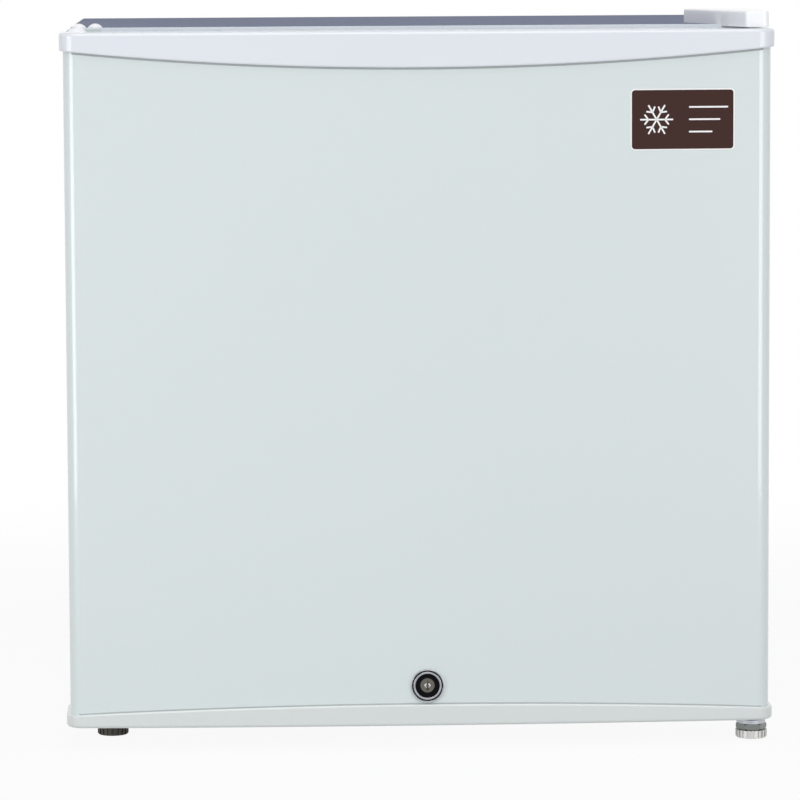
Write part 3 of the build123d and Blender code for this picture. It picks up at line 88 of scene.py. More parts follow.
class NodeSketch:
    """Shorthand for placing and linking shader nodes in one tree."""

    COLUMN_WIDTH = 190
    # Sockets of a Mix node that mixes colours: its factor and two colours, and its result
    MIX_INPUTS = (0, 6, 7)
    MIX_RESULT = 2

    def __init__(self, tree: bpy.types.NodeTree) -> None:
        """Keeps the tree that nodes go into."""
        self.tree = tree
        self.column = 0

    def add(self, kind: str, **values: object) -> bpy.types.Node:
        """Adds a node and sets its properties.

        Args:
            kind: Blender's name of the node type.
            **values: Properties of the node.

        Returns:
            The new node.
        """
        node = self.tree.nodes.new(kind)
        node.location = (self.column * self.COLUMN_WIDTH, 0)
        self.column += 1
        for name, value in values.items():
            setattr(node, name, value)
        return node

    def link(self, source: bpy.types.NodeSocket, target: bpy.types.NodeSocket) -> None:
        """Joins an output to an input."""
        self.tree.links.new(source, target)

    def feed(self, target: bpy.types.NodeSocket, value: object) -> None:
        """Gives an input its value.

        Args:
            target: The input.
            value: A socket to link from, or a plain value to set.
        """
        if isinstance(value, bpy.types.NodeSocket):
            self.link(value, target)
        else:
            target.default_value = value

    def coordinates(self) -> bpy.types.NodeSocket:
        """Gives the place on the piece, in metres."""
        return self.add("ShaderNodeTexCoord").outputs["Object"]

    def noise(self, coordinates: bpy.types.NodeSocket, scale: object, detail: float) -> bpy.types.NodeSocket:
        """Adds a noise texture on the given coordinates.

        Args:
            coordinates: Where the pattern is read.
            scale: Repeats of the pattern to a metre, as a socket or a number.
            detail: Octaves of the pattern.

        Returns:
            The noise, from 0 to 1.
        """
        node = self.add("ShaderNodeTexNoise")
        for title, value in (("Vector", coordinates), ("Scale", scale), ("Detail", detail)):
            self.feed(node.inputs[title], value)
        return node.outputs["Fac"]

    def mix(self, factor: bpy.types.NodeSocket, low: object, high: object) -> bpy.types.NodeSocket:
        """Mixes two colours.

        Args:
            factor: Share of the second colour.
            low: First colour, as a socket or a value.
            high: Second colour, as a socket or a value.

        Returns:
            The mixed colour.
        """
        node = self.add("ShaderNodeMix", data_type="RGBA")
        for index, value in zip(self.MIX_INPUTS, (factor, low, high)):
            self.feed(node.inputs[index], value)
        return node.outputs[self.MIX_RESULT]

    def layer(self, factor: bpy.types.NodeSocket, under: bpy.types.NodeSocket,
              over: bpy.types.NodeSocket) -> bpy.types.NodeSocket:
        """Mixes two shaders.

        Args:
            factor: Share of the second shader.
            under: First shader.
            over: Second shader.

        Returns:
            The mixed shader.
        """
        node = self.add("ShaderNodeMixShader")
        for target, value in zip(node.inputs, (factor, under, over)):
            self.feed(target, value)
        return node.outputs[0]

    def scaled(self, value: bpy.types.NodeSocket, low: object, high: object) -> bpy.types.NodeSocket:
        """Maps a value from the 0 to 1 range to another one.

        Args:
            value: The value to map.
            low: Result at 0, as a socket or a number.
            high: Result at 1, as a socket or a number.

        Returns:
            The mapped value.
        """
        node = self.add("ShaderNodeMapRange", clamp=True)
        for title, bound in (("Value", value), ("To Min", low), ("To Max", high)):
            self.feed(node.inputs[title], bound)
        return node.outputs["Result"]

    def arithmetic(self, operation: str, *values: object) -> bpy.types.NodeSocket:
        """Reckons with numbers.

        Args:
            operation: Blender's name of the operation.
            *values: What it works on, as sockets or numbers.

        Returns:
            The result.
        """
        node = self.add("ShaderNodeMath", operation=operation)
        for target, value in zip(node.inputs, values):
            self.feed(target, value)
        return node.outputs[0]

    def vector(self, operation: str, *values: object) -> bpy.types.Node:
        """Reckons with vectors.

        Args:
            operation: Blender's name of the operation.
            *values: What it works on, as sockets or vectors.

        Returns:
            The node, with a Vector and a Value output.
        """
        node = self.add("ShaderNodeVectorMath", operation=operation)
        for target, value in zip(node.inputs, values):
            self.feed(target, value)
        return node


class Effect:
    """A shared surface effect, built once as a node group."""

    def __init__(self, name: str, inputs: dict[str, Socket], outputs: dict[str, Socket]) -> None:
        """Makes the empty group with its sockets.

        Args:
            name: Name of the group.
            inputs: Named inputs and their kinds.
            outputs: Named outputs and their kinds.
        """
        self.group = bpy.data.node_groups.new(name, "ShaderNodeTree")
        for title, kind in inputs.items():
            self.group.interface.new_socket(title, in_out="INPUT", socket_type=kind.value)
        for title, kind in outputs.items():
            self.group.interface.new_socket(title, in_out="OUTPUT", socket_type=kind.value)
        self.sketch = NodeSketch(self.group)
        self.source = self.sketch.add("NodeGroupInput").outputs
        self.result = self.sketch.add("NodeGroupOutput").inputs
        self.place = self.sketch.coordinates()


class EffectLibrary:
    """The effects that more than one finish uses."""

    TONE_DETAIL = 3.0
    RIPPLE_DETAIL = 1.0
    SPREAD_SCALE = 14.0
    SPREAD_DETAIL = 4.0
    GRAIN_STRETCH = (18.0, 300.0, 900.0)
    GRAIN_DETAIL = 3.0
    GRAIN_SPREAD = 0.16
    PATCH_SCALE = 22.0
    PATCH_DETAIL = 5.0
    DUST_SCALE = 160.0
    DUST_DETAIL = 4.0

    def __init__(self) -> None:
        """Builds every effect."""
        self.mottle = self._mottle()
        self.ripple = self._ripple()
        self.grain = self._grain()
        self.dust = self._dust()

    @classmethod
    def _mottle(cls) -> Effect:
        """Slow change of tone over a moulded or painted face.

        Returns:
            The effect, with a colour output.
        """
        effect = Effect("tone_mottle",
                        {"Color": Socket.COLOUR, "Shade": Socket.COLOUR, "Scale": Socket.NUMBER,
                         "Amount": Socket.NUMBER},
                        {"Color": Socket.COLOUR})
        sketch, source = effect.sketch, effect.source
        noise = sketch.noise(effect.place, source["Scale"], cls.TONE_DETAIL)
        share = sketch.scaled(noise, 0.0, source["Amount"])
        sketch.link(sketch.mix(share, source["Color"], source["Shade"]), effect.result["Color"])
        return effect

    @classmethod
    def _ripple(cls) -> Effect:
        """Fine waviness of sprayed paint or of a mould's texture.

        Returns:
            The effect, with a height and a roughness output.
        """
        effect = Effect("skin_ripple",
                        {"Scale": Socket.NUMBER, "Roughness": Socket.NUMBER, "Spread": Socket.NUMBER},
                        {"Height": Socket.NUMBER, "Roughness": Socket.NUMBER})
        sketch, source = effect.sketch, effect.source
        fine = sketch.noise(effect.place, source["Scale"], cls.RIPPLE_DETAIL)
        sketch.link(fine, effect.result["Height"])
        broad = sketch.noise(effect.place, cls.SPREAD_SCALE, cls.SPREAD_DETAIL)
        roughness = sketch.arithmetic("MULTIPLY_ADD", broad, source["Spread"], source["Roughness"])
        sketch.link(roughness, effect.result["Roughness"])
        return effect

    @classmethod
    def _grain(cls) -> Effect:
        """Rolled or drawn grain of bare metal, long in one direction.

        Returns:
            The effect, with a height, a tone and a roughness output.
        """
        effect = Effect("metal_grain",
                        {"Color": Socket.COLOUR, "Shade": Socket.COLOUR, "Roughness": Socket.NUMBER},
                        {"Color": Socket.COLOUR, "Height": Socket.NUMBER, "Roughness": Socket.NUMBER})
        sketch, source = effect.sketch, effect.source
        stretch = sketch.add("ShaderNodeMapping")
        sketch.feed(stretch.inputs["Vector"], effect.place)
        sketch.feed(stretch.inputs["Scale"], cls.GRAIN_STRETCH)
        lines = sketch.noise(stretch.outputs["Vector"], 1.0, cls.GRAIN_DETAIL)
        patches = sketch.noise(effect.place, cls.PATCH_SCALE, cls.PATCH_DETAIL)
        sketch.link(sketch.mix(patches, source["Color"], source["Shade"]), effect.result["Color"])
        sketch.link(lines, effect.result["Height"])
        roughness = sketch.arithmetic("MULTIPLY_ADD", lines, cls.GRAIN_SPREAD, source["Roughness"])
        sketch.link(roughness, effect.result["Roughness"])
        return effect

    @classmethod
    def _dust(cls) -> Effect:
        """Thin dust that settles on faces that look up.

        Returns:
            The effect, with a colour output.
        """
        effect = Effect("settled_dust",
                        {"Color": Socket.COLOUR, "Dust": Socket.COLOUR, "Amount": Socket.NUMBER},
                        {"Color": Socket.COLOUR})
        sketch, source = effect.sketch, effect.source
        facing = sketch.add("ShaderNodeSeparateXYZ")
        sketch.link(sketch.add("ShaderNodeNewGeometry").outputs["Normal"], facing.inputs[0])
        upward = sketch.scaled(facing.outputs["Z"], 0.0, 1.0)
        speckle = sketch.noise(effect.place, cls.DUST_SCALE, cls.DUST_DETAIL)
        cover = sketch.arithmetic("MULTIPLY", upward, speckle)
        share = sketch.arithmetic("MULTIPLY", cover, source["Amount"])
        sketch.link(sketch.mix(share, source["Color"], source["Dust"]), effect.result["Color"])
        return effect


@dataclass(frozen=True)
class Finish:
    """What every finish has: a name, the record's slot, its two tones and its dust."""

    name: str
    slot: str
    colour: Rgba
    shade: Rgba
    roughness: float = 0.3
    specular: float = 0.5
    dust: float = 0.0
    dust_colour: Rgba = srgb(150, 143, 130)

    def build(self, effects: EffectLibrary) -> bpy.types.Material:
        """Builds the material, each kind of finish in its own way.

        Args:
            effects: The shared effects.

        Returns:
            The finished material.
        """
        raise NotImplementedError

    def bare(self) -> tuple[bpy.types.Material, NodeSketch, bpy.types.Node]:
        """Makes the bare material.

        Returns:
            The material, the sketch of its nodes and its shader.
        """
        material = bpy.data.materials.new(self.name)
        material.use_nodes = True
        sketch = NodeSketch(material.node_tree)
        shader = material.node_tree.nodes["Principled BSDF"]
        shader.inputs["Specular IOR Level"].default_value = self.specular
        return material, sketch, shader

    @staticmethod
    def place(sketch: NodeSketch, effect: Effect, **values: object) -> bpy.types.Node:
        """Places a shared effect in a material.

        Args:
            sketch: The material's nodes.
            effect: The effect to place.
            **values: Values of its inputs, by title.

        Returns:
            The group node.
        """
        node = sketch.add("ShaderNodeGroup")
        node.node_tree = effect.group
        for title, value in values.items():
            sketch.feed(node.inputs[title], value)
        return node

    def tint(self, sketch: NodeSketch, effects: EffectLibrary, tone: bpy.types.NodeSocket,
             shader: bpy.types.Node) -> None:
        """Dusts a tone and gives it to the shader.

        Args:
            sketch: The material's nodes.
            effects: The shared effects.
            tone: The colour of the clean surface.
            shader: The shader that takes the colour.
        """
        if self.dust:
            tone = self.place(sketch, effects.dust, Color=tone, Dust=self.dust_colour,
                              Amount=self.dust).outputs["Color"]
        sketch.link(tone, shader.inputs["Base Color"])

    @staticmethod
    def emboss(sketch: NodeSketch, height: bpy.types.NodeSocket, shader: bpy.types.Node,
               strength: float, depth: float) -> None:
        """Turns a height into the shader's normal.

        Args:
            sketch: The material's nodes.
            height: Height from 0 to 1.
            shader: The shader that takes the normal.
            strength: Strength of the bump.
            depth: Height of the relief in metres.
        """
        bump = sketch.add("ShaderNodeBump")
        for title, value in (("Strength", strength), ("Distance", depth), ("Height", height)):
            sketch.feed(bump.inputs[title], value)
        sketch.link(bump.outputs["Normal"], shader.inputs["Normal"])


@dataclass(frozen=True)
class CoatedFinish(Finish):
    """Sprayed paint or moulded plastic: a toned skin with a fine ripple."""

    ripple_scale: float = 420.0
    ripple_depth: float = 0.02 * MM
    ripple_strength: float = 0.25
    mottle_scale: float = 7.0
    mottle: float = 0.5
    spread: float = 0.08
    coat: float = 0.0
    coat_roughness: float = 0.06
    sheen: float = 0.0
    transmission: float = 0.0

    def build(self, effects: EffectLibrary) -> bpy.types.Material:
        """Builds the material.

        Args:
            effects: The shared effects.

        Returns:
            The finished material.
        """
        material, sketch, shader = self.bare()
        tone = self.place(sketch, effects.mottle, Color=self.colour, Shade=self.shade,
                          Scale=self.mottle_scale, Amount=self.mottle)
        self.tint(sketch, effects, tone.outputs["Color"], shader)
        skin = self.place(sketch, effects.ripple, Scale=self.ripple_scale,
                          Roughness=self.roughness - self.spread / 2, Spread=self.spread)
        sketch.link(skin.outputs["Roughness"], shader.inputs["Roughness"])
        self.emboss(sketch, skin.outputs["Height"], shader, self.ripple_strength, self.ripple_depth)
        for title, value in (("Coat Weight", self.coat), ("Coat Roughness", self.coat_roughness),
                             ("Sheen Weight", self.sheen), ("Transmission Weight", self.transmission)):
            shader.inputs[title].default_value = value
        return material


@dataclass(frozen=True)
class MetalFinish(Finish):
    """Bare, plated or polished metal with a drawn grain."""

    grain_depth: float = 0.01 * MM
    grain_strength: float = 0.2
    dust_colour: Rgba = srgb(140, 134, 122)

    def build(self, effects: EffectLibrary) -> bpy.types.Material:
        """Builds the material.

        Args:
            effects: The shared effects.

        Returns:
            The finished material.
        """
        material, sketch, shader = self.bare()
        shader.inputs["Metallic"].default_value = 1.0
        grain = self.place(sketch, effects.grain, Color=self.colour, Shade=self.shade,
                           Roughness=self.roughness)
        self.tint(sketch, effects, grain.outputs["Color"], shader)
        sketch.link(grain.outputs["Roughness"], shader.inputs["Roughness"])
        self.emboss(sketch, grain.outputs["Height"], shader, self.grain_strength, self.grain_depth)
        return material


@dataclass(frozen=True)
class GroovedFinish(MetalFinish):
    """Polished ring round an axis along Y, with a black band painted in it as a painted dark reflection."""

    node: str = ""
    rim: float = 0.6 * MM
    groove: float = 0.9 * MM
    # colour and specular of the painted dark reflection band
    lacquer: Rgba = srgb(16, 16, 18)
    lacquer_specular: float = 0.1

    def build(self, effects: EffectLibrary) -> bpy.types.Material:
        """Builds the polished metal and paints the black band of painted dark reflection.

        Args:
            effects: The shared effects.

        Returns:
            The finished material.
        """
        material = super().build(effects)
        sketch = NodeSketch(material.node_tree)
        shader = material.node_tree.nodes["Principled BSDF"]
        # painted reflection: a black, non-metallic band mixed into the chrome stands in for dark surroundings
        # mirrored in it
        inside = self.groove_mask(sketch)
        polished = shader.inputs["Base Color"].links[0].from_socket
        sketch.link(sketch.mix(inside, polished, self.lacquer), shader.inputs["Base Color"])
        sketch.link(sketch.scaled(inside, 1.0, 0.0), shader.inputs["Metallic"])
        sketch.link(sketch.scaled(inside, self.specular, self.lacquer_specular),
                    shader.inputs["Specular IOR Level"])
        return material

    def groove_mask(self, sketch: NodeSketch) -> bpy.types.NodeSocket:
        """Marks the painted dark reflection band by its distance from the ring's axis.

        Args:
            sketch: The material's nodes.

        Returns:
            1 in the painted dark band, else 0.
        """
        points = [Vector(corner) for corner in frame["nodes"][self.node].bound_box]
        centre = sum(points, Vector()) / len(points)
        outer = max(point.x for point in points) - centre.x - self.rim
        offset = sketch.vector("SUBTRACT", sketch.coordinates(), centre).outputs["Vector"]
        across = sketch.vector("MULTIPLY", offset, (1.0, 0.0, 1.0)).outputs["Vector"]
        reach = sketch.vector("LENGTH", across).outputs["Value"]
        return sketch.arithmetic("COMPARE", reach, outer - self.groove / 2, self.groove / 2)


class Wardrobe:
    """Every finish of the fridge, and which node wears which."""

    WHITE_STEEL = CoatedFinish("white_steel_paint", "white_steel", srgb(217, 226, 227), srgb(212, 221, 222),
                               roughness=0.24, coat=0.8, ripple_scale=260.0, mottle_scale=3.0)
    # painted shade: this grey stands in for the shade and dark grazing reflection on the white up-facing top
    GREY_STEEL = CoatedFinish("roof_paint_painted_shade", "grey_steel", srgb(126, 134, 157), srgb(108, 116, 139),
                              roughness=0.75, specular=0.06, ripple_scale=900.0, ripple_depth=0.06 * MM,
                              mottle_scale=16.0, dust=0.1, dust_colour=srgb(158, 156, 152))
    CAP_PLASTIC = CoatedFinish("white_cap_plastic", "white_plastic", srgb(226, 230, 237), srgb(221, 225, 233),
                               roughness=0.3, coat=0.6, ripple_scale=700.0)
    # painted shade: a darker copy of the cap plastic, for the dimmer light low on the door
    FOOT_CAP = CoatedFinish("bottom_cap_plastic_painted_shade", "white_plastic",
                            srgb(217, 222, 221), srgb(212, 217, 217),
                            roughness=0.3, coat=0.6, ripple_scale=700.0)
    # painted light: a lighter copy of the cap plastic that brightens the shaded hinge cover and the plugs
    COVER = CoatedFinish("cover_plastic_painted_light", "white_plastic", srgb(250, 252, 255), srgb(246, 249, 254),
                         roughness=0.3, coat=0.6, ripple_scale=700.0)
    # painted light: a lighter, bluer copy of the white steel that brightens the front top rail
    RAIL_STEEL = CoatedFinish("rail_paint_painted_light", "white_steel", srgb(240, 246, 254), srgb(235, 242, 250),
                              roughness=0.24, coat=0.8, ripple_scale=260.0, mottle_scale=3.0)
    LINER = CoatedFinish("liner_plastic", "liner_plastic", srgb(232, 236, 238), srgb(225, 230, 233),
                         roughness=0.36, ripple_scale=520.0, ripple_strength=0.35)
    CLEAR = CoatedFinish("clear_bin_plastic", "clear_plastic", srgb(226, 238, 242), srgb(216, 232, 238),
                         roughness=0.1, spread=0.04, transmission=0.85, ripple_scale=160.0, mottle=0.3)
    FOAM = CoatedFinish("insulation_foam", "insulation_foam", srgb(232, 212, 150), srgb(205, 180, 112),
                        roughness=0.85, specular=0.2, ripple_scale=900.0, ripple_depth=0.6 * MM,
                        ripple_strength=0.8, mottle_scale=40.0, mottle=1.0)
    SEAL = CoatedFinish("seal_rubber", "seal_rubber", srgb(206, 209, 211), srgb(194, 198, 201),
                        roughness=0.55, sheen=0.1, ripple_scale=1100.0, ripple_strength=0.4)
    # painted shadow: a grey bead finish that stands in for the shade line under each end cap's lip
    SEAM = CoatedFinish("cap_shadow_bead", "seal_rubber", srgb(176, 181, 182), srgb(168, 173, 175),
                        roughness=0.6, specular=0.2, ripple_scale=900.0)
    BLACK_PLASTIC = CoatedFinish("black_plastic", "black_plastic", srgb(30, 30, 33), srgb(40, 40, 43),
                                 roughness=0.42, ripple_scale=1300.0, ripple_strength=0.5)
    BARREL = CoatedFinish("lock_barrel_plastic", "black_plastic", srgb(13, 13, 15), srgb(18, 18, 20),
                          roughness=0.4, specular=0.05, ripple_scale=1300.0)
    FOOT_PLASTIC = CoatedFinish("brown_foot_plastic", "black_plastic", srgb(74, 71, 64), srgb(62, 60, 54),
                                roughness=0.5, ripple_scale=900.0, ripple_strength=0.5)
    BLACK_PAINT = CoatedFinish("black_compressor_paint", "black_paint", srgb(26, 26, 28), srgb(36, 36, 38),
                               roughness=0.38, coat=0.1, ripple_scale=300.0, ripple_depth=0.08 * MM,
                               ripple_strength=0.5, mottle_scale=20.0, dust=0.25)
    BLACK_RUBBER = CoatedFinish("black_rubber", "black_rubber", srgb(28, 28, 28), srgb(38, 38, 38),
                                roughness=0.7, specular=0.3, sheen=0.1, ripple_scale=1500.0, dust=0.15)
    WHITE_WIRE = CoatedFinish("white_wire_coat", "white_wire", srgb(236, 239, 241), srgb(226, 230, 233),
                              roughness=0.34, ripple_scale=500.0, ripple_strength=0.4)
    STICKER_BROWN = CoatedFinish("sticker_film", "black_plastic", srgb(62, 38, 34), srgb(57, 35, 31),
                                 roughness=0.45, specular=0.15, ripple_scale=600.0)
    STICKER_WHITE = CoatedFinish("sticker_border", "white_plastic", srgb(246, 246, 246), srgb(240, 240, 240),
                                 roughness=0.35, ripple_scale=600.0)
    PRINT = CoatedFinish("grey_print", "black_plastic", srgb(84, 92, 104), srgb(76, 84, 96), roughness=0.5)
    ZINC = MetalFinish("zinc_plated_steel", "zinc_steel", srgb(196, 199, 203), srgb(168, 172, 178),
                       roughness=0.34, dust=0.12)
    BRIGHT = MetalFinish("bright_steel", "bright_steel", srgb(214, 214, 212), srgb(190, 190, 188),
                         roughness=0.2)
    # painted shade: a darker copy of the bright steel, standing in for shade and dark reflections on the
    # bottom hinge pin
    DARK_STEEL = MetalFinish("hinge_pin_steel_painted_shade", "bright_steel", srgb(134, 138, 135), srgb(112, 116, 114),
                             roughness=0.22)
    # painted shade: steel toned down to stand in for the side shade on the right foot
    FOOT_STEEL = MetalFinish("foot_steel_painted_shade", "bright_steel", srgb(214, 214, 212), srgb(196, 196, 194),
                             roughness=0.32)
    # painted reflection: the black band in this chrome ring stands in for dark surroundings mirrored in it
    CHROME = GroovedFinish("chrome_trim", "chrome_trim", srgb(172, 174, 179), srgb(164, 166, 172),
                           roughness=0.04, grain_strength=0.03, node="lock_bezel")
    # partly the plug's own nickel tone, partly a painted dark reflection that darkens its face
    NICKEL = MetalFinish("plug_nickel_painted_dark_reflection", "chrome_trim", srgb(118, 115, 109), srgb(98, 95, 90),
                         roughness=0.2, grain_strength=0.1)
    ALUMINIUM = MetalFinish("raw_aluminium", "raw_aluminium", srgb(214, 217, 220), srgb(196, 200, 205),
                            roughness=0.4)
    COPPER = MetalFinish("copper_tube", "copper_tube", srgb(202, 128, 92), srgb(158, 92, 64),
                         roughness=0.3, dust=0.1)

    WEARERS: tuple[tuple[Finish, tuple[str, ...]], ...] = (
        (WHITE_STEEL, ("door_panel", "left_side_panel", "right_side_panel", "front_bottom_rail")),
        (RAIL_STEEL, ("front_top_rail",)),
        (FOOT_CAP, ("door_bottom_cap",)),
        (COVER, ("top_hinge_cover", "door_cap_plug", "hinge_hole_plugs")),
        (GREY_STEEL, ("top_panel",)),
        (CAP_PLASTIC, ("door_top_cap", "top_hinge_bush", "bottom_hinge_bush", "foot_bush",
                       "thermostat_housing", "thermostat_knob")),
        (LINER, ("door_liner", "inner_liner", "evaporator_spacers", "freezer_frame", "tray_runners")),
        (CLEAR, ("upper_door_bin", "lower_door_bin", "freezer_flap", "drip_tray")),
        (FOAM, ("door_foam", "cabinet_foam")),
        (SEAL, ("door_gasket",)),
        (BLACK_PLASTIC, ("rear_feet", "terminal_cover")),
        (BARREL, ("lock_barrel",)),
        (FOOT_PLASTIC, ("front_left_foot",)),
        (FOOT_STEEL, ("front_right_foot",)),
        (BLACK_PAINT, ("compressor",)),
        (BLACK_RUBBER, ("compressor_grommets", "cord_gland")),
        (WHITE_WIRE, ("wire_shelf",)),
        (ZINC, ("lock_strike", "top_hinge_plate", "bottom_hinge_bracket", "back_panel", "base_panel",
                "compressor_plate")),
        (BRIGHT, ("lock_nut", "lock_cam", "lock_cam_screw", "top_hinge_pin", "top_hinge_screws",
                  "bottom_hinge_screws", "compressor_bolts")),
        (DARK_STEEL, ("bottom_hinge_pin",)),
        (CHROME, ("lock_bezel",)),
        (NICKEL, ("lock_plug",)),
        (ALUMINIUM, ("evaporator",)),
        (COPPER, ("condenser_coil", "filter_drier", "discharge_tube", "suction_tube", "capillary_tube")),
    )

    def __init__(self) -> None:
        """Builds the shared effects."""
        self.effects = EffectLibrary()
        self.made: dict[str, bpy.types.Material] = {}

    def material(self, finish: Finish) -> bpy.types.Material:
        """Gives a finish's material, built on first use.

        Args:
            finish: The finish.

        Returns:
            Its material.
        """
        if finish.name not in self.made:
            self.made[finish.name] = finish.build(self.effects)
        return self.made[finish.name]

    def dress_nodes(self, nodes: dict[str, bpy.types.Object]) -> None:
        """Puts the finishes on the frame's nodes.

        Args:
            nodes: The frame's nodes by name.
        """
        for finish, names in self.WEARERS:
            material = self.material(finish)
            for name in names:
                mesh = nodes[name].data
                mesh.materials.clear()
                mesh.materials.append(material)
                log.info("dressed %s in %s", name, material.name)


class Bench:
    """Modelling moves that the sub-assemblies share."""

    @staticmethod
    def clear() -> None:
        """Leaves nothing selected and no edit mode open."""
        if bpy.context.object and bpy.context.object.mode != "OBJECT":
            bpy.ops.object.mode_set(mode="OBJECT")
        bpy.ops.object.select_all(action="DESELECT")

    @classmethod
    def focus(cls, piece: bpy.types.Object) -> None:
        """Makes one piece the only selected and active one.

        Args:
            piece: The piece to work on.
        """
        cls.clear()
        piece.select_set(True)
        bpy.context.view_layer.objects.active = piece

    @classmethod
    def settle(cls, piece: bpy.types.Object, name: str) -> bpy.types.Object:
        """Names a piece and moves its place into its mesh.

        Args:
            piece: The piece to settle.
            name: The piece's name.

        Returns:
            The same piece.
        """
        cls.focus(piece)
        bpy.ops.object.transform_apply(location=True, rotation=True, scale=True)
        piece.name = name
        piece.data.name = name
        return piece

    @classmethod
    def slab(cls, name: str, low: Vector, high: Vector) -> bpy.types.Object:
        """Starts a piece from a block between two corners.

        Args:
            name: The piece's name.
            low: Lowest corner.
            high: Highest corner.

        Returns:
            The block, for shaping.
        """
        cls.clear()
        bpy.ops.mesh.primitive_cube_add(size=1.0, location=(low + high) / 2)
        piece = bpy.context.object
        piece.scale = high - low
        return cls.settle(piece, name)

    @classmethod
    def turned(cls, name: str, centre: Vector, radius: float, height: float, sides: int) -> bpy.types.Object:
        """Starts a piece from a cylinder along Y.

        Args:
            name: The piece's name.
            centre: Middle of the cylinder.
            radius: Its radius.
            height: Its height along Y.
            sides: Facets round it.

        Returns:
            The cylinder, for shaping.
        """
        cls.clear()
        bpy.ops.mesh.primitive_cylinder_add(vertices=sides, radius=radius, depth=height,
                                            location=centre, rotation=FACE_FRONT)
        return cls.settle(bpy.context.object, name)

    @classmethod
    def open(cls, piece: bpy.types.Object) -> None:
        """Opens a piece in edit mode with all of it selected.

        Args:
            piece: The piece to edit.
        """
        cls.focus(piece)
        bpy.ops.object.mode_set(mode="EDIT")
        bpy.ops.mesh.select_mode(type="VERT")
        bpy.ops.mesh.select_all(action="SELECT")

    @classmethod
    def unpick(cls, piece: bpy.types.Object, kind: str) -> None:
        """Leaves nothing of a piece's mesh selected.

        Args:
            piece: The piece to edit next.
            kind: Blender's name of what will be selected.
        """
        cls.focus(piece)
        bpy.ops.object.mode_set(mode="EDIT")
        bpy.ops.mesh.select_mode(type=kind)
        bpy.ops.mesh.select_all(action="DESELECT")
        bpy.ops.object.mode_set(mode="OBJECT")

    @classmethod
    def pick_faces(cls, piece: bpy.types.Object, wanted: Callable[[bpy.types.MeshPolygon], bool]) -> None:
        """Opens a piece in edit mode with only the wanted faces selected.

        Args:
            piece: The piece to edit.
            wanted: Says which faces are selected.
        """
        cls.unpick(piece, "FACE")
        for face in piece.data.polygons:
            face.select = wanted(face)
        bpy.ops.object.mode_set(mode="EDIT")

    @classmethod
    def pick_edges(cls, piece: bpy.types.Object, wanted: Callable[[Vector, Vector], bool]) -> None:
        """Opens a piece in edit mode with only the wanted edges selected.

        Args:
            piece: The piece to edit.
            wanted: Takes an edge's two ends and says if it is selected.
        """
        cls.unpick(piece, "EDGE")
        points = piece.data.vertices
        for edge in piece.data.edges:
            start, end = edge.vertices
            edge.select = wanted(points[start].co, points[end].co)
        bpy.ops.object.mode_set(mode="EDIT")

    @classmethod
    def apply(cls, piece: bpy.types.Object, kind: str, **values: object) -> None:
        """Adds a modifier and applies it.

        Args:
            piece: The piece to change.
            kind: Blender's name of the modifier type.
            **values: Properties of the modifier.
        """
        cls.focus(piece)
        modifier = piece.modifiers.new(kind.lower(), kind)
        for name, value in values.items():
            setattr(modifier, name, value)
        bpy.ops.object.modifier_apply(modifier=modifier.name)

    @classmethod
    def drape(cls, piece: bpy.types.Object, **values: object) -> None:
        """Moves a piece along Y until it lies on the door's skin.

        Args:
            piece: The piece in front of the door.
            **values: Further properties of the wrap.
        """
        cls.apply(piece, "SHRINKWRAP", target=frame["nodes"]["door_panel"], wrap_method="PROJECT",
                  use_project_y=True, use_negative_direction=True, use_positive_direction=True, **values)

    @classmethod
    def cut(cls, piece: bpy.types.Object, tool: bpy.types.Object) -> None:
        """Cuts a tool's shape out of a piece and takes the tool away.

        Args:
            piece: The piece that is cut.
            tool: The block that is cut out of it.
        """
        cls.apply(piece, "BOOLEAN", object=tool, operation="DIFFERENCE", solver="EXACT")
        bpy.data.objects.remove(tool)

    @classmethod
    def copy(cls, piece: bpy.types.Object, name: str, offset: Vector) -> bpy.types.Object:
        """Copies a piece, with a mesh of its own, to another place.

        Args:
            piece: The piece to copy.
            name: The copy's name.
            offset: How far the copy is moved.

        Returns:
            The copy.
        """
        cls.focus(piece)
        bpy.ops.object.duplicate(linked=False)
        twin = bpy.context.object
        twin.location = offset
        return cls.settle(twin, name)

    @classmethod
    def join(cls, name: str, pieces: list[bpy.types.Object]) -> bpy.types.Object:
        """Joins pieces into one.

        Args:
            name: The joined piece's name.
            pieces: What is joined.

        Returns:
            The joined piece.
        """
        cls.focus(pieces[0])
        for piece in pieces[1:]:
            piece.select_set(True)
        bpy.ops.object.join()
        return cls.settle(bpy.context.object, name)

    @classmethod
    def fit_out(cls, piece: bpy.types.Object, body: Body, finish: Finish, wardrobe: Wardrobe) -> None:
        """Smooths a piece, dresses it and lets it ride on its body.

        Args:
            piece: The finished piece.
            body: The body that carries it.
            finish: The finish that it wears.
            wardrobe: Where materials are kept.
        """
        cls.focus(piece)
        bpy.ops.object.shade_smooth_by_angle(angle=SMOOTH_ANGLE)
        piece.data.materials.clear()
        piece.data.materials.append(wardrobe.material(finish))
        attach(piece, body.value)
        log.info("made %s on %s", piece.name, body.value)


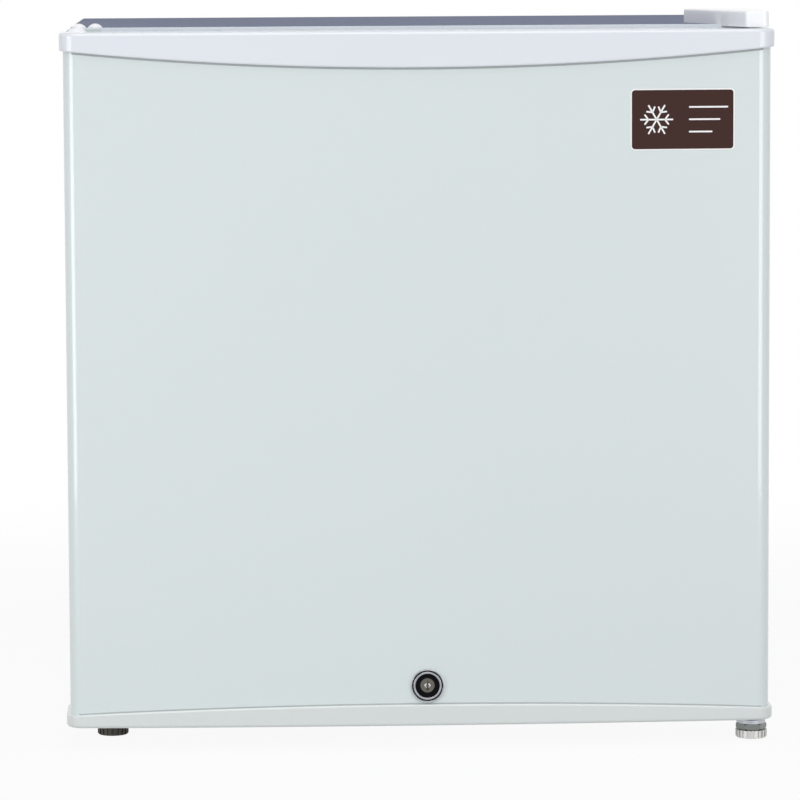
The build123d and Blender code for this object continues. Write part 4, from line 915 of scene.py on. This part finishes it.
@dataclass
class DoorSticker:
    """Plain brown sticker with a white border, a snow crystal and rules, laid on the bowed door."""

    width: float = 69.2 * MM
    height: float = 40.6 * MM
    side_margin: float = 24.9 * MM
    top_margin: float = 36.0 * MM
    corner: float = 3.0 * MM
    corner_facets: int = 6
    border: float = 0.9 * MM
    film: float = 0.12 * MM
    glue: float = 0.02 * MM
    columns: int = 24
    bar_width: float = 1.1 * MM
    bar_round: float = 0.4
    bar_facets: int = 3
    crystal_left: float = 0.25
    crystal_reach: float = 11.0 * MM
    crystal_arms: int = 6
    twig_root: float = 0.5
    twig_turn: float = math.pi / 3.4
    twig_reach: float = 4.2 * MM
    rule_left: float = 0.06
    rule_step: float = 0.2
    rule_length: float = 26.0 * MM
    rule_shares: tuple[float, ...] = (1.0, 0.8, 0.6)

    def __post_init__(self) -> None:
        """Finds the sticker's middle on the door."""
        low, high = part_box("door_panel")
        self.front = low.y
        self.middle = Vector((high.x - self.side_margin - self.width / 2, self.front,
                              high.z - self.top_margin - self.height / 2))

    def lay(self, piece: bpy.types.Object, lift: float) -> None:
        """Wraps a flat piece on the door's front and gives it its thickness.

        Args:
            piece: Flat piece in front of the door.
            lift: Height of its back face over the paint.
        """
        Bench.drape(piece, wrap_mode="ABOVE_SURFACE", offset=lift)
        Bench.apply(piece, "SOLIDIFY", thickness=self.film, offset=1.0)
        Bench.open(piece)
        bpy.ops.mesh.normals_make_consistent(inside=False)
        Bench.clear()

    def plate(self, name: str, width: float, height: float, corner: float) -> bpy.types.Object:
        """Models a flat plate with round corners in front of the door.

        Args:
            name: The plate's name.
            width: Its width.
            height: Its height.
            corner: Radius of its corners.

        Returns:
            The flat plate, divided into columns.
        """
        Bench.clear()
        bpy.ops.mesh.primitive_plane_add(size=1.0, location=self.middle, rotation=FACE_FRONT)
        piece = bpy.context.object
        piece.scale = (width, height, 1.0)
        Bench.open(Bench.settle(piece, name))
        bpy.ops.mesh.bevel(offset=corner, segments=self.corner_facets, affect="VERTICES")
        for index in range(1, self.columns):
            x = self.middle.x - width / 2 + width * index / self.columns
            bpy.ops.mesh.select_all(action="SELECT")
            bpy.ops.mesh.bisect(plane_co=(x, 0, 0), plane_no=(1, 0, 0))
        Bench.clear()
        return piece

    @staticmethod
    def toward(turn: float, reach: float) -> Vector:
        """Gives a step in the door's plane."""
        return Vector((math.cos(turn) * reach, 0, math.sin(turn) * reach))

    def bar(self, start: Vector, turn: float, reach: float) -> bpy.types.Object:
        """Models one flat bar with rounded ends.

        Args:
            start: Where the bar starts.
            turn: Its direction in the door's plane.
            reach: Its length.

        Returns:
            The flat bar.
        """
        Bench.clear()
        bpy.ops.mesh.primitive_plane_add(size=1.0, location=start + self.toward(turn, reach / 2))
        piece = bpy.context.object
        piece.scale = (reach, self.bar_width, 1.0)
        piece.rotation_mode = "QUATERNION"
        flat = Matrix.Rotation(math.pi / 2, 3, "X")
        piece.rotation_quaternion = (Matrix.Rotation(-turn, 3, "Y") @ flat).to_quaternion()
        Bench.open(Bench.settle(piece, "sticker_bar"))
        bpy.ops.mesh.bevel(offset=self.bar_width * self.bar_round, segments=self.bar_facets,
                           affect="VERTICES")
        bpy.ops.mesh.subdivide(number_cuts=1)
        Bench.clear()
        return piece

    def crystal(self, name: str) -> bpy.types.Object:
        """Models a snow crystal of six arms with two twigs each.

        Args:
            name: The crystal's name.

        Returns:
            The flat crystal in front of the door.
        """
        centre = self.middle - Vector((self.width * self.crystal_left, 0, 0))
        bars = []
        for arm in range(self.crystal_arms):
            turn = 2 * math.pi * arm / self.crystal_arms
            bars.append(self.bar(centre, turn, self.crystal_reach))
            root = centre + self.toward(turn, self.crystal_reach * self.twig_root)
            for side in (-1, 1):
                bars.append(self.bar(root, turn + side * self.twig_turn, self.twig_reach))
        return Bench.join(name, bars)

    def rules(self, name: str) -> bpy.types.Object:
        """Models three plain rules of falling length beside the crystal.

        Args:
            name: The piece's name.

        Returns:
            The flat rules in front of the door.
        """
        left = self.middle.x + self.width * self.rule_left
        middle_row = len(self.rule_shares) // 2
        bars = []
        for index, share in enumerate(self.rule_shares):
            z = self.middle.z + (middle_row - index) * self.height * self.rule_step
            bars.append(self.bar(Vector((left, self.front, z)), 0.0, self.rule_length * share))
        return Bench.join(name, bars)

    def build(self, wardrobe: Wardrobe) -> None:
        """Builds the sticker's layers.

        Args:
            wardrobe: Where materials are kept.
        """
        inner = 2 * self.border
        border = self.plate("door_sticker_border", self.width, self.height, self.corner)
        face = self.plate("door_sticker_face", self.width - inner, self.height - inner,
                          self.corner - self.border)
        layers = (
            (0, border, Wardrobe.STICKER_WHITE),
            (1, face, Wardrobe.STICKER_BROWN),
            (2, self.crystal("door_sticker_crystal"), Wardrobe.STICKER_WHITE),
            (2, self.rules("door_sticker_rules"), Wardrobe.STICKER_WHITE),
        )
        for level, piece, finish in layers:
            self.lay(piece, self.glue + level * self.film)
            Bench.fit_out(piece, Body.DOOR, finish, wardrobe)


@dataclass
class CapSeams:
    """Grey beads along the arced edges of the end caps, laid on the door's skin as painted shadow lines under
    the caps' lips.
    """

    top_bead: float = 0.9 * MM
    top_skirt_ends: float = 12.0 * MM
    top_skirt_middle: float = 24.0 * MM
    bottom_bead: float = 0.5 * MM
    bottom_skirt_ends: float = 8.5 * MM
    bottom_skirt_middle: float = 14.5 * MM
    bead_offset: float = 0.4
    bead_facets: int = 3
    end_margin: float = 6.0 * MM
    arc_facets: int = 1024

    def arc(self, name: str, end: float, middle: float) -> bpy.types.Object:
        """Models an edge's arc as a wire in front of the door.

        Args:
            name: The wire's name.
            end: Height of the arc over the door's ends.
            middle: Height of the arc in the middle.

        Returns:
            The wire, cut to the door's front.
        """
        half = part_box("door_top_cap")[1].x
        rise = middle - end
        radius = (half ** 2 + rise ** 2) / (2 * abs(rise))
        centre = middle - math.copysign(radius, rise)
        low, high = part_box("door_panel")
        reach = high.x - self.end_margin
        Bench.clear()
        bpy.ops.mesh.primitive_circle_add(vertices=self.arc_facets, radius=radius, rotation=FACE_FRONT,
                                          location=(0, low.y, centre))
        wire = Bench.settle(bpy.context.object, name)
        Bench.open(wire)
        cuts = (((reach, 0, 0), (1, 0, 0)), ((-reach, 0, 0), (-1, 0, 0)),
                ((0, 0, centre), (0, 0, -math.copysign(1, rise))))
        for place, outward in cuts:
            bpy.ops.mesh.select_all(action="SELECT")
            bpy.ops.mesh.bisect(plane_co=place, plane_no=outward, clear_outer=True)
        Bench.clear()
        return wire

    def bead(self, wire: bpy.types.Object, radius: float) -> bpy.types.Object:
        """Lays a wire on the door's skin and thickens it to a bead.

        Args:
            wire: The arc in front of the door.
            radius: The bead's radius.

        Returns:
            The bead as a mesh.
        """
        Bench.drape(wire)
        Bench.focus(wire)
        bpy.ops.object.convert(target="CURVE")
        wire.data.bevel_depth = radius
        wire.data.bevel_resolution = self.bead_facets
        wire.data.use_fill_caps = True
        bpy.ops.object.convert(target="MESH")
        return bpy.context.object

    def build(self, wardrobe: Wardrobe) -> None:
        """Builds both beads.

        Args:
            wardrobe: Where materials are kept.
        """
        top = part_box("door_top_cap")[1].z
        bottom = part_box("door_bottom_cap")[0].z
        runs = (
            ("top_cap_shadow_bead", top - self.top_skirt_ends, top - self.top_skirt_middle, self.top_bead),
            ("bottom_cap_shadow_bead", bottom + self.bottom_skirt_ends, bottom + self.bottom_skirt_middle,
             self.bottom_bead),
        )
        for name, end, middle, radius in runs:
            shift = math.copysign(radius * self.bead_offset, middle - end)
            piece = self.bead(self.arc(name, end + shift, middle + shift), radius)
            # each bead is a painted shadow line under a cap's lip
            Bench.fit_out(piece, Body.DOOR, Wardrobe.SEAM, wardrobe)


@dataclass
class KeywayFrame:
    """Bright bevelled frame in the square dish round the lock's keyway."""

    side: float = 3.3 * MM
    rim: float = 0.7 * MM
    dish: float = 0.7 * MM
    rim_rise: float = 0.5
    dish_sink: float = 0.75
    slot: float = 0.65 * MM
    slot_depth: float = 2.0
    sides: int = 4
    front_normal: float = -0.9

    def build(self, wardrobe: Wardrobe) -> None:
        """Builds the frame on the lock's plug.

        Args:
            wardrobe: Where materials are kept.
        """
        low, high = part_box("lock_plug")
        centre = Vector(((low.x + high.x) / 2, low.y + self.dish / 2, (low.z + high.z) / 2))
        piece = Bench.turned("keyway_frame", centre, self.side / math.sqrt(2), self.dish, self.sides)
        Bench.pick_faces(piece, lambda face: face.normal.y < self.front_normal)
        bpy.ops.mesh.inset(thickness=self.rim)
        bpy.ops.transform.translate(value=(0, -self.dish * self.rim_rise, 0))
        bpy.ops.mesh.inset(thickness=self.rim / 2)
        bpy.ops.transform.translate(value=(0, self.dish * self.dish_sink, 0))
        Bench.clear()
        reach = Vector((self.slot, self.dish * self.slot_depth, self.side))
        Bench.cut(piece, Bench.slab("keyway_cut", centre - reach, centre + reach))
        Bench.fit_out(piece, Body.LOCK, Wardrobe.BRIGHT, wardrobe)


@dataclass
class ThermostatDial:
    """Printed numbers round the thermostat knob, and the knob's pointer."""

    numbers: int = 7
    sweep: float = math.radians(270)
    ring_gap: float = 3.6 * MM
    digit_height: float = 4.2 * MM
    print_depth: float = 0.08 * MM
    pointer_width: float = 1.4 * MM
    pointer_length: float = 7.0 * MM
    pointer_reach: float = 0.72
    pointer_proud: float = 0.25 * MM
    pointer_round: float = 0.8
    pointer_facets: int = 2

    def __post_init__(self) -> None:
        """Finds the knob and the face that it turns on."""
        low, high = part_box("thermostat_knob")
        self.knob_front = low.y
        self.centre = Vector(((low.x + high.x) / 2, 0, (low.z + high.z) / 2))
        self.radius = (high.x - low.x) / 2
        self.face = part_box("thermostat_housing")[0].y

    def digit(self, number: int) -> bpy.types.Object:
        """Models one printed number.

        Args:
            number: The number to print.

        Returns:
            The number as a mesh on the housing's face.
        """
        turn = -self.sweep / 2 + self.sweep * (number - 1) / (self.numbers - 1)
        reach = self.radius + self.ring_gap
        place = self.centre + Vector((math.sin(turn) * reach, self.face, math.cos(turn) * reach))
        Bench.clear()
        bpy.ops.object.text_add(location=place, rotation=FACE_FRONT)
        text = bpy.context.object
        text.data.body = str(number)
        text.data.size = self.digit_height
        text.data.align_x = "CENTER"
        text.data.align_y = "CENTER"
        text.data.extrude = self.print_depth
        bpy.ops.object.convert(target="MESH")
        return Bench.settle(bpy.context.object, f"dial_number_{number}")

    def pointer(self) -> bpy.types.Object:
        """Models the pointer inlay on the knob's grip.

        Returns:
            The pointer as a mesh.
        """
        half = self.pointer_width / 2
        top = self.centre.z + self.radius * self.pointer_reach
        low = Vector((self.centre.x - half, self.knob_front - self.pointer_proud, top - self.pointer_length))
        high = Vector((self.centre.x + half, self.knob_front + self.pointer_proud, top))
        piece = Bench.slab("knob_pointer", low, high)
        Bench.apply(piece, "BEVEL", width=self.pointer_proud * self.pointer_round,
                    segments=self.pointer_facets)
        return piece

    def build(self, wardrobe: Wardrobe) -> None:
        """Builds the numbers and the pointer.

        Args:
            wardrobe: Where materials are kept.
        """
        digits = [self.digit(number) for number in range(1, self.numbers + 1)]
        Bench.fit_out(Bench.join("dial_numbers", digits), Body.CABINET, Wardrobe.PRINT, wardrobe)
        Bench.fit_out(self.pointer(), Body.KNOB, Wardrobe.PRINT, wardrobe)


@dataclass
class BackScrews:
    """Pan-head screws that hold the back panel."""

    head_radius: float = 3.6 * MM
    head_height: float = 2.0 * MM
    head_sides: int = 24
    head_round: float = 0.55
    round_facets: int = 4
    recess_width: float = 0.9 * MM
    recess_reach: float = 2.2 * MM
    recess_floor: float = 0.45
    recess_top: float = 2.0
    edge_margin: float = 9.0 * MM
    rows: int = 4
    top_count: int = 3

    def head(self) -> bpy.types.Object:
        """Models one screw head at the origin, facing back, with a cross recess.

        Returns:
            The screw head.
        """
        half = self.head_height / 2
        piece = Bench.turned("back_screw", Vector((0, half, 0)), self.head_radius, self.head_height,
                             self.head_sides)
        Bench.pick_edges(piece, lambda start, end: start.y > half and end.y > half)
        bpy.ops.mesh.bevel(offset=self.head_height * self.head_round, segments=self.round_facets)
        Bench.clear()
        for wide, tall in ((self.recess_reach, self.recess_width), (self.recess_width, self.recess_reach)):
            low = Vector((-wide, self.head_height * self.recess_floor, -tall))
            high = Vector((wide, self.head_height * self.recess_top, tall))
            Bench.cut(piece, Bench.slab("screw_recess", low, high))
        return piece

    def places(self) -> list[Vector]:
        """Works out where the screws sit on the back panel.

        Returns:
            The middle of each head's seat.
        """
        low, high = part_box("back_panel")
        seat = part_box("left_side_panel")[1].y
        left, right = low.x + self.edge_margin, high.x - self.edge_margin
        bottom, top = low.z + self.edge_margin, high.z - self.edge_margin
        spots = []
        for index in range(self.rows):
            z = bottom + (top - bottom) * index / (self.rows - 1)
            spots += [Vector((left, seat, z)), Vector((right, seat, z))]
        for index in range(1, self.top_count + 1):
            x = left + (right - left) * index / (self.top_count + 1)
            spots.append(Vector((x, seat, top)))
        return spots

    def build(self, wardrobe: Wardrobe) -> None:
        """Builds the screws.

        Args:
            wardrobe: Where materials are kept.
        """
        model = self.head()
        for index, spot in enumerate(self.places()):
            screw = Bench.copy(model, f"back_screw_{index + 1}", spot)
            Bench.fit_out(screw, Body.CABINET, Wardrobe.BRIGHT, wardrobe)
        bpy.data.objects.remove(model)


@dataclass(frozen=True)
class SoftBox:
    """One lamp of the studio: its place and size in metres and its power in watts."""

    name: str
    place: tuple[float, float, float]
    size: tuple[float, float]
    power: float

    def hang(self, target: Vector) -> None:
        """Hangs the lamp, turned to a point and unseen by the camera.

        Args:
            target: The point that it shines at.
        """
        Bench.clear()
        bpy.ops.object.light_add(type="AREA", location=self.place)
        lamp = bpy.context.object
        lamp.name = self.name
        lamp.data.shape = "RECTANGLE"
        lamp.data.size, lamp.data.size_y = self.size
        lamp.data.energy = self.power
        lamp.rotation_euler = (target - Vector(self.place)).to_track_quat("-Z", "Y").to_euler()
        lamp.visible_camera = False


@dataclass
class Studio:
    """Pale floor, soft boxes and an even white surround."""

    floor_reach: float = 30.0
    floor_sides: int = 64
    floor_tone: Rgba = srgb(214, 215, 216)
    floor_glow: float = 0.93
    glow_near: float = 0.45
    glow_far: float = 1.2
    surround: float = 0.4
    lamps: tuple[SoftBox, ...] = (
        SoftBox("overhead_box", (0.0, -0.9, 2.5), (2.2, 1.6), 15.0),
        SoftBox("front_box", (0.0, -2.6, 2.2), (2.0, 1.2), 25.0),
        SoftBox("left_strip", (-1.114, -1.043, 0.26), (0.64, 0.5), 3.7),
        SoftBox("right_strip", (0.872, -1.243, 0.26), (0.56, 0.5), 2.6),
    )
    target: Vector = field(default_factory=lambda: Vector((0, -0.15, 0.25)))

    @staticmethod
    def seen_rays(sketch: NodeSketch) -> bpy.types.NodeSocket:
        """Marks the rays that show a surface as it is, straight or in a reflection.

        Args:
            sketch: The nodes to add to.

        Returns:
            1 for camera, glossy and transmission rays, else 0.
        """
        rays = sketch.add("ShaderNodeLightPath").outputs
        mark = rays["Is Camera Ray"]
        for title in ("Is Transmission Ray", "Is Glossy Ray"):
            mark = sketch.arithmetic("MAXIMUM", mark, rays[title])
        return mark

    def floor_material(self) -> bpy.types.Material:
        """Builds a matt floor that looks white, keeps the shadow and is clear from below.

        Returns:
            The floor's material.
        """
        material = bpy.data.materials.new("studio_floor")
        material.use_nodes = True
        nodes = material.node_tree.nodes
        sketch = NodeSketch(material.node_tree)
        matt = nodes["Principled BSDF"]
        for title, value in (("Base Color", self.floor_tone), ("Roughness", 1.0),
                             ("Specular IOR Level", 0.0)):
            matt.inputs[title].default_value = value
        reach = sketch.vector("LENGTH", sketch.coordinates()).outputs["Value"]
        fade = sketch.add("ShaderNodeMapRange", interpolation_type="SMOOTHSTEP")
        for title, value in (("Value", reach), ("From Min", self.glow_near), ("From Max", self.glow_far),
                             ("To Min", self.floor_glow), ("To Max", 1.0)):
            sketch.feed(fade.inputs[title], value)
        share = sketch.arithmetic("MULTIPLY", self.seen_rays(sketch), fade.outputs["Result"])
        glow = sketch.add("ShaderNodeEmission")
        lit = sketch.layer(share, matt.outputs[0], glow.outputs[0])
        below = sketch.add("ShaderNodeNewGeometry").outputs["Backfacing"]
        clear = sketch.add("ShaderNodeBsdfTransparent")
        sided = sketch.layer(below, lit, clear.outputs[0])
        sketch.link(sided, nodes["Material Output"].inputs["Surface"])
        return material

    def floor(self) -> None:
        """Lays the floor."""
        Bench.clear()
        bpy.ops.mesh.primitive_circle_add(vertices=self.floor_sides, radius=self.floor_reach,
                                          fill_type="NGON")
        floor = bpy.context.object
        floor.name = "studio_floor"
        floor.data.materials.append(self.floor_material())

    def world(self) -> None:
        """Makes the surround: an even light that looks white to the camera and in reflections."""
        world = bpy.data.worlds.new("studio_surround")
        bpy.context.scene.world = world
        world.use_nodes = True
        sketch = NodeSketch(world.node_tree)
        background = world.node_tree.nodes["Background"]
        strength = sketch.scaled(self.seen_rays(sketch), self.surround, 1.0)
        sketch.link(strength, background.inputs["Strength"])
        background.inputs["Color"].default_value = (1.0, 1.0, 1.0, 1.0)

    def build(self) -> None:
        """Sets up the stage."""
        self.floor()
        self.world()
        for lamp in self.lamps:
            lamp.hang(self.target)
        bpy.context.scene.view_settings.view_transform = "Standard"


@dataclass
class PhotoCamera:
    """The camera at the photo's viewing angle."""

    place: Vector = field(default_factory=lambda: Vector((-0.151, -3.008, 0.533)))
    yaw: float = math.radians(2.18)
    pitch: float = math.radians(-5.47)
    roll: float = math.radians(-0.32)
    lens: float = 191.1
    shift: tuple[float, float] = (0.06, -0.06)

    def build(self) -> None:
        """Places the camera."""
        Bench.clear()
        bpy.ops.object.camera_add(location=self.place)
        camera = bpy.context.object
        camera.name = "photo_camera"
        camera.data.lens = self.lens
        camera.data.shift_x, camera.data.shift_y = self.shift
        level = Matrix.Rotation(-self.yaw, 3, "Z") @ Matrix.Rotation(math.pi / 2 + self.pitch, 3, "X")
        camera.rotation_euler = (level @ Matrix.Rotation(self.roll, 3, "Z")).to_euler()
        bpy.context.scene.camera = camera


def main() -> None:
    """Dresses the frame, builds the new pieces and sets the stage."""
    logging.basicConfig(level=logging.INFO, format="%(name)s: %(message)s")
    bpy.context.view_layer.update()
    wardrobe = Wardrobe()
    wardrobe.dress_nodes(frame["nodes"])
    for assembly in (DoorSticker(), CapSeams(), KeywayFrame(), ThermostatDial(), BackScrews()):
        assembly.build(wardrobe)
    Studio().build()
    PhotoCamera().build()


if __name__ == "__main__":
    main()
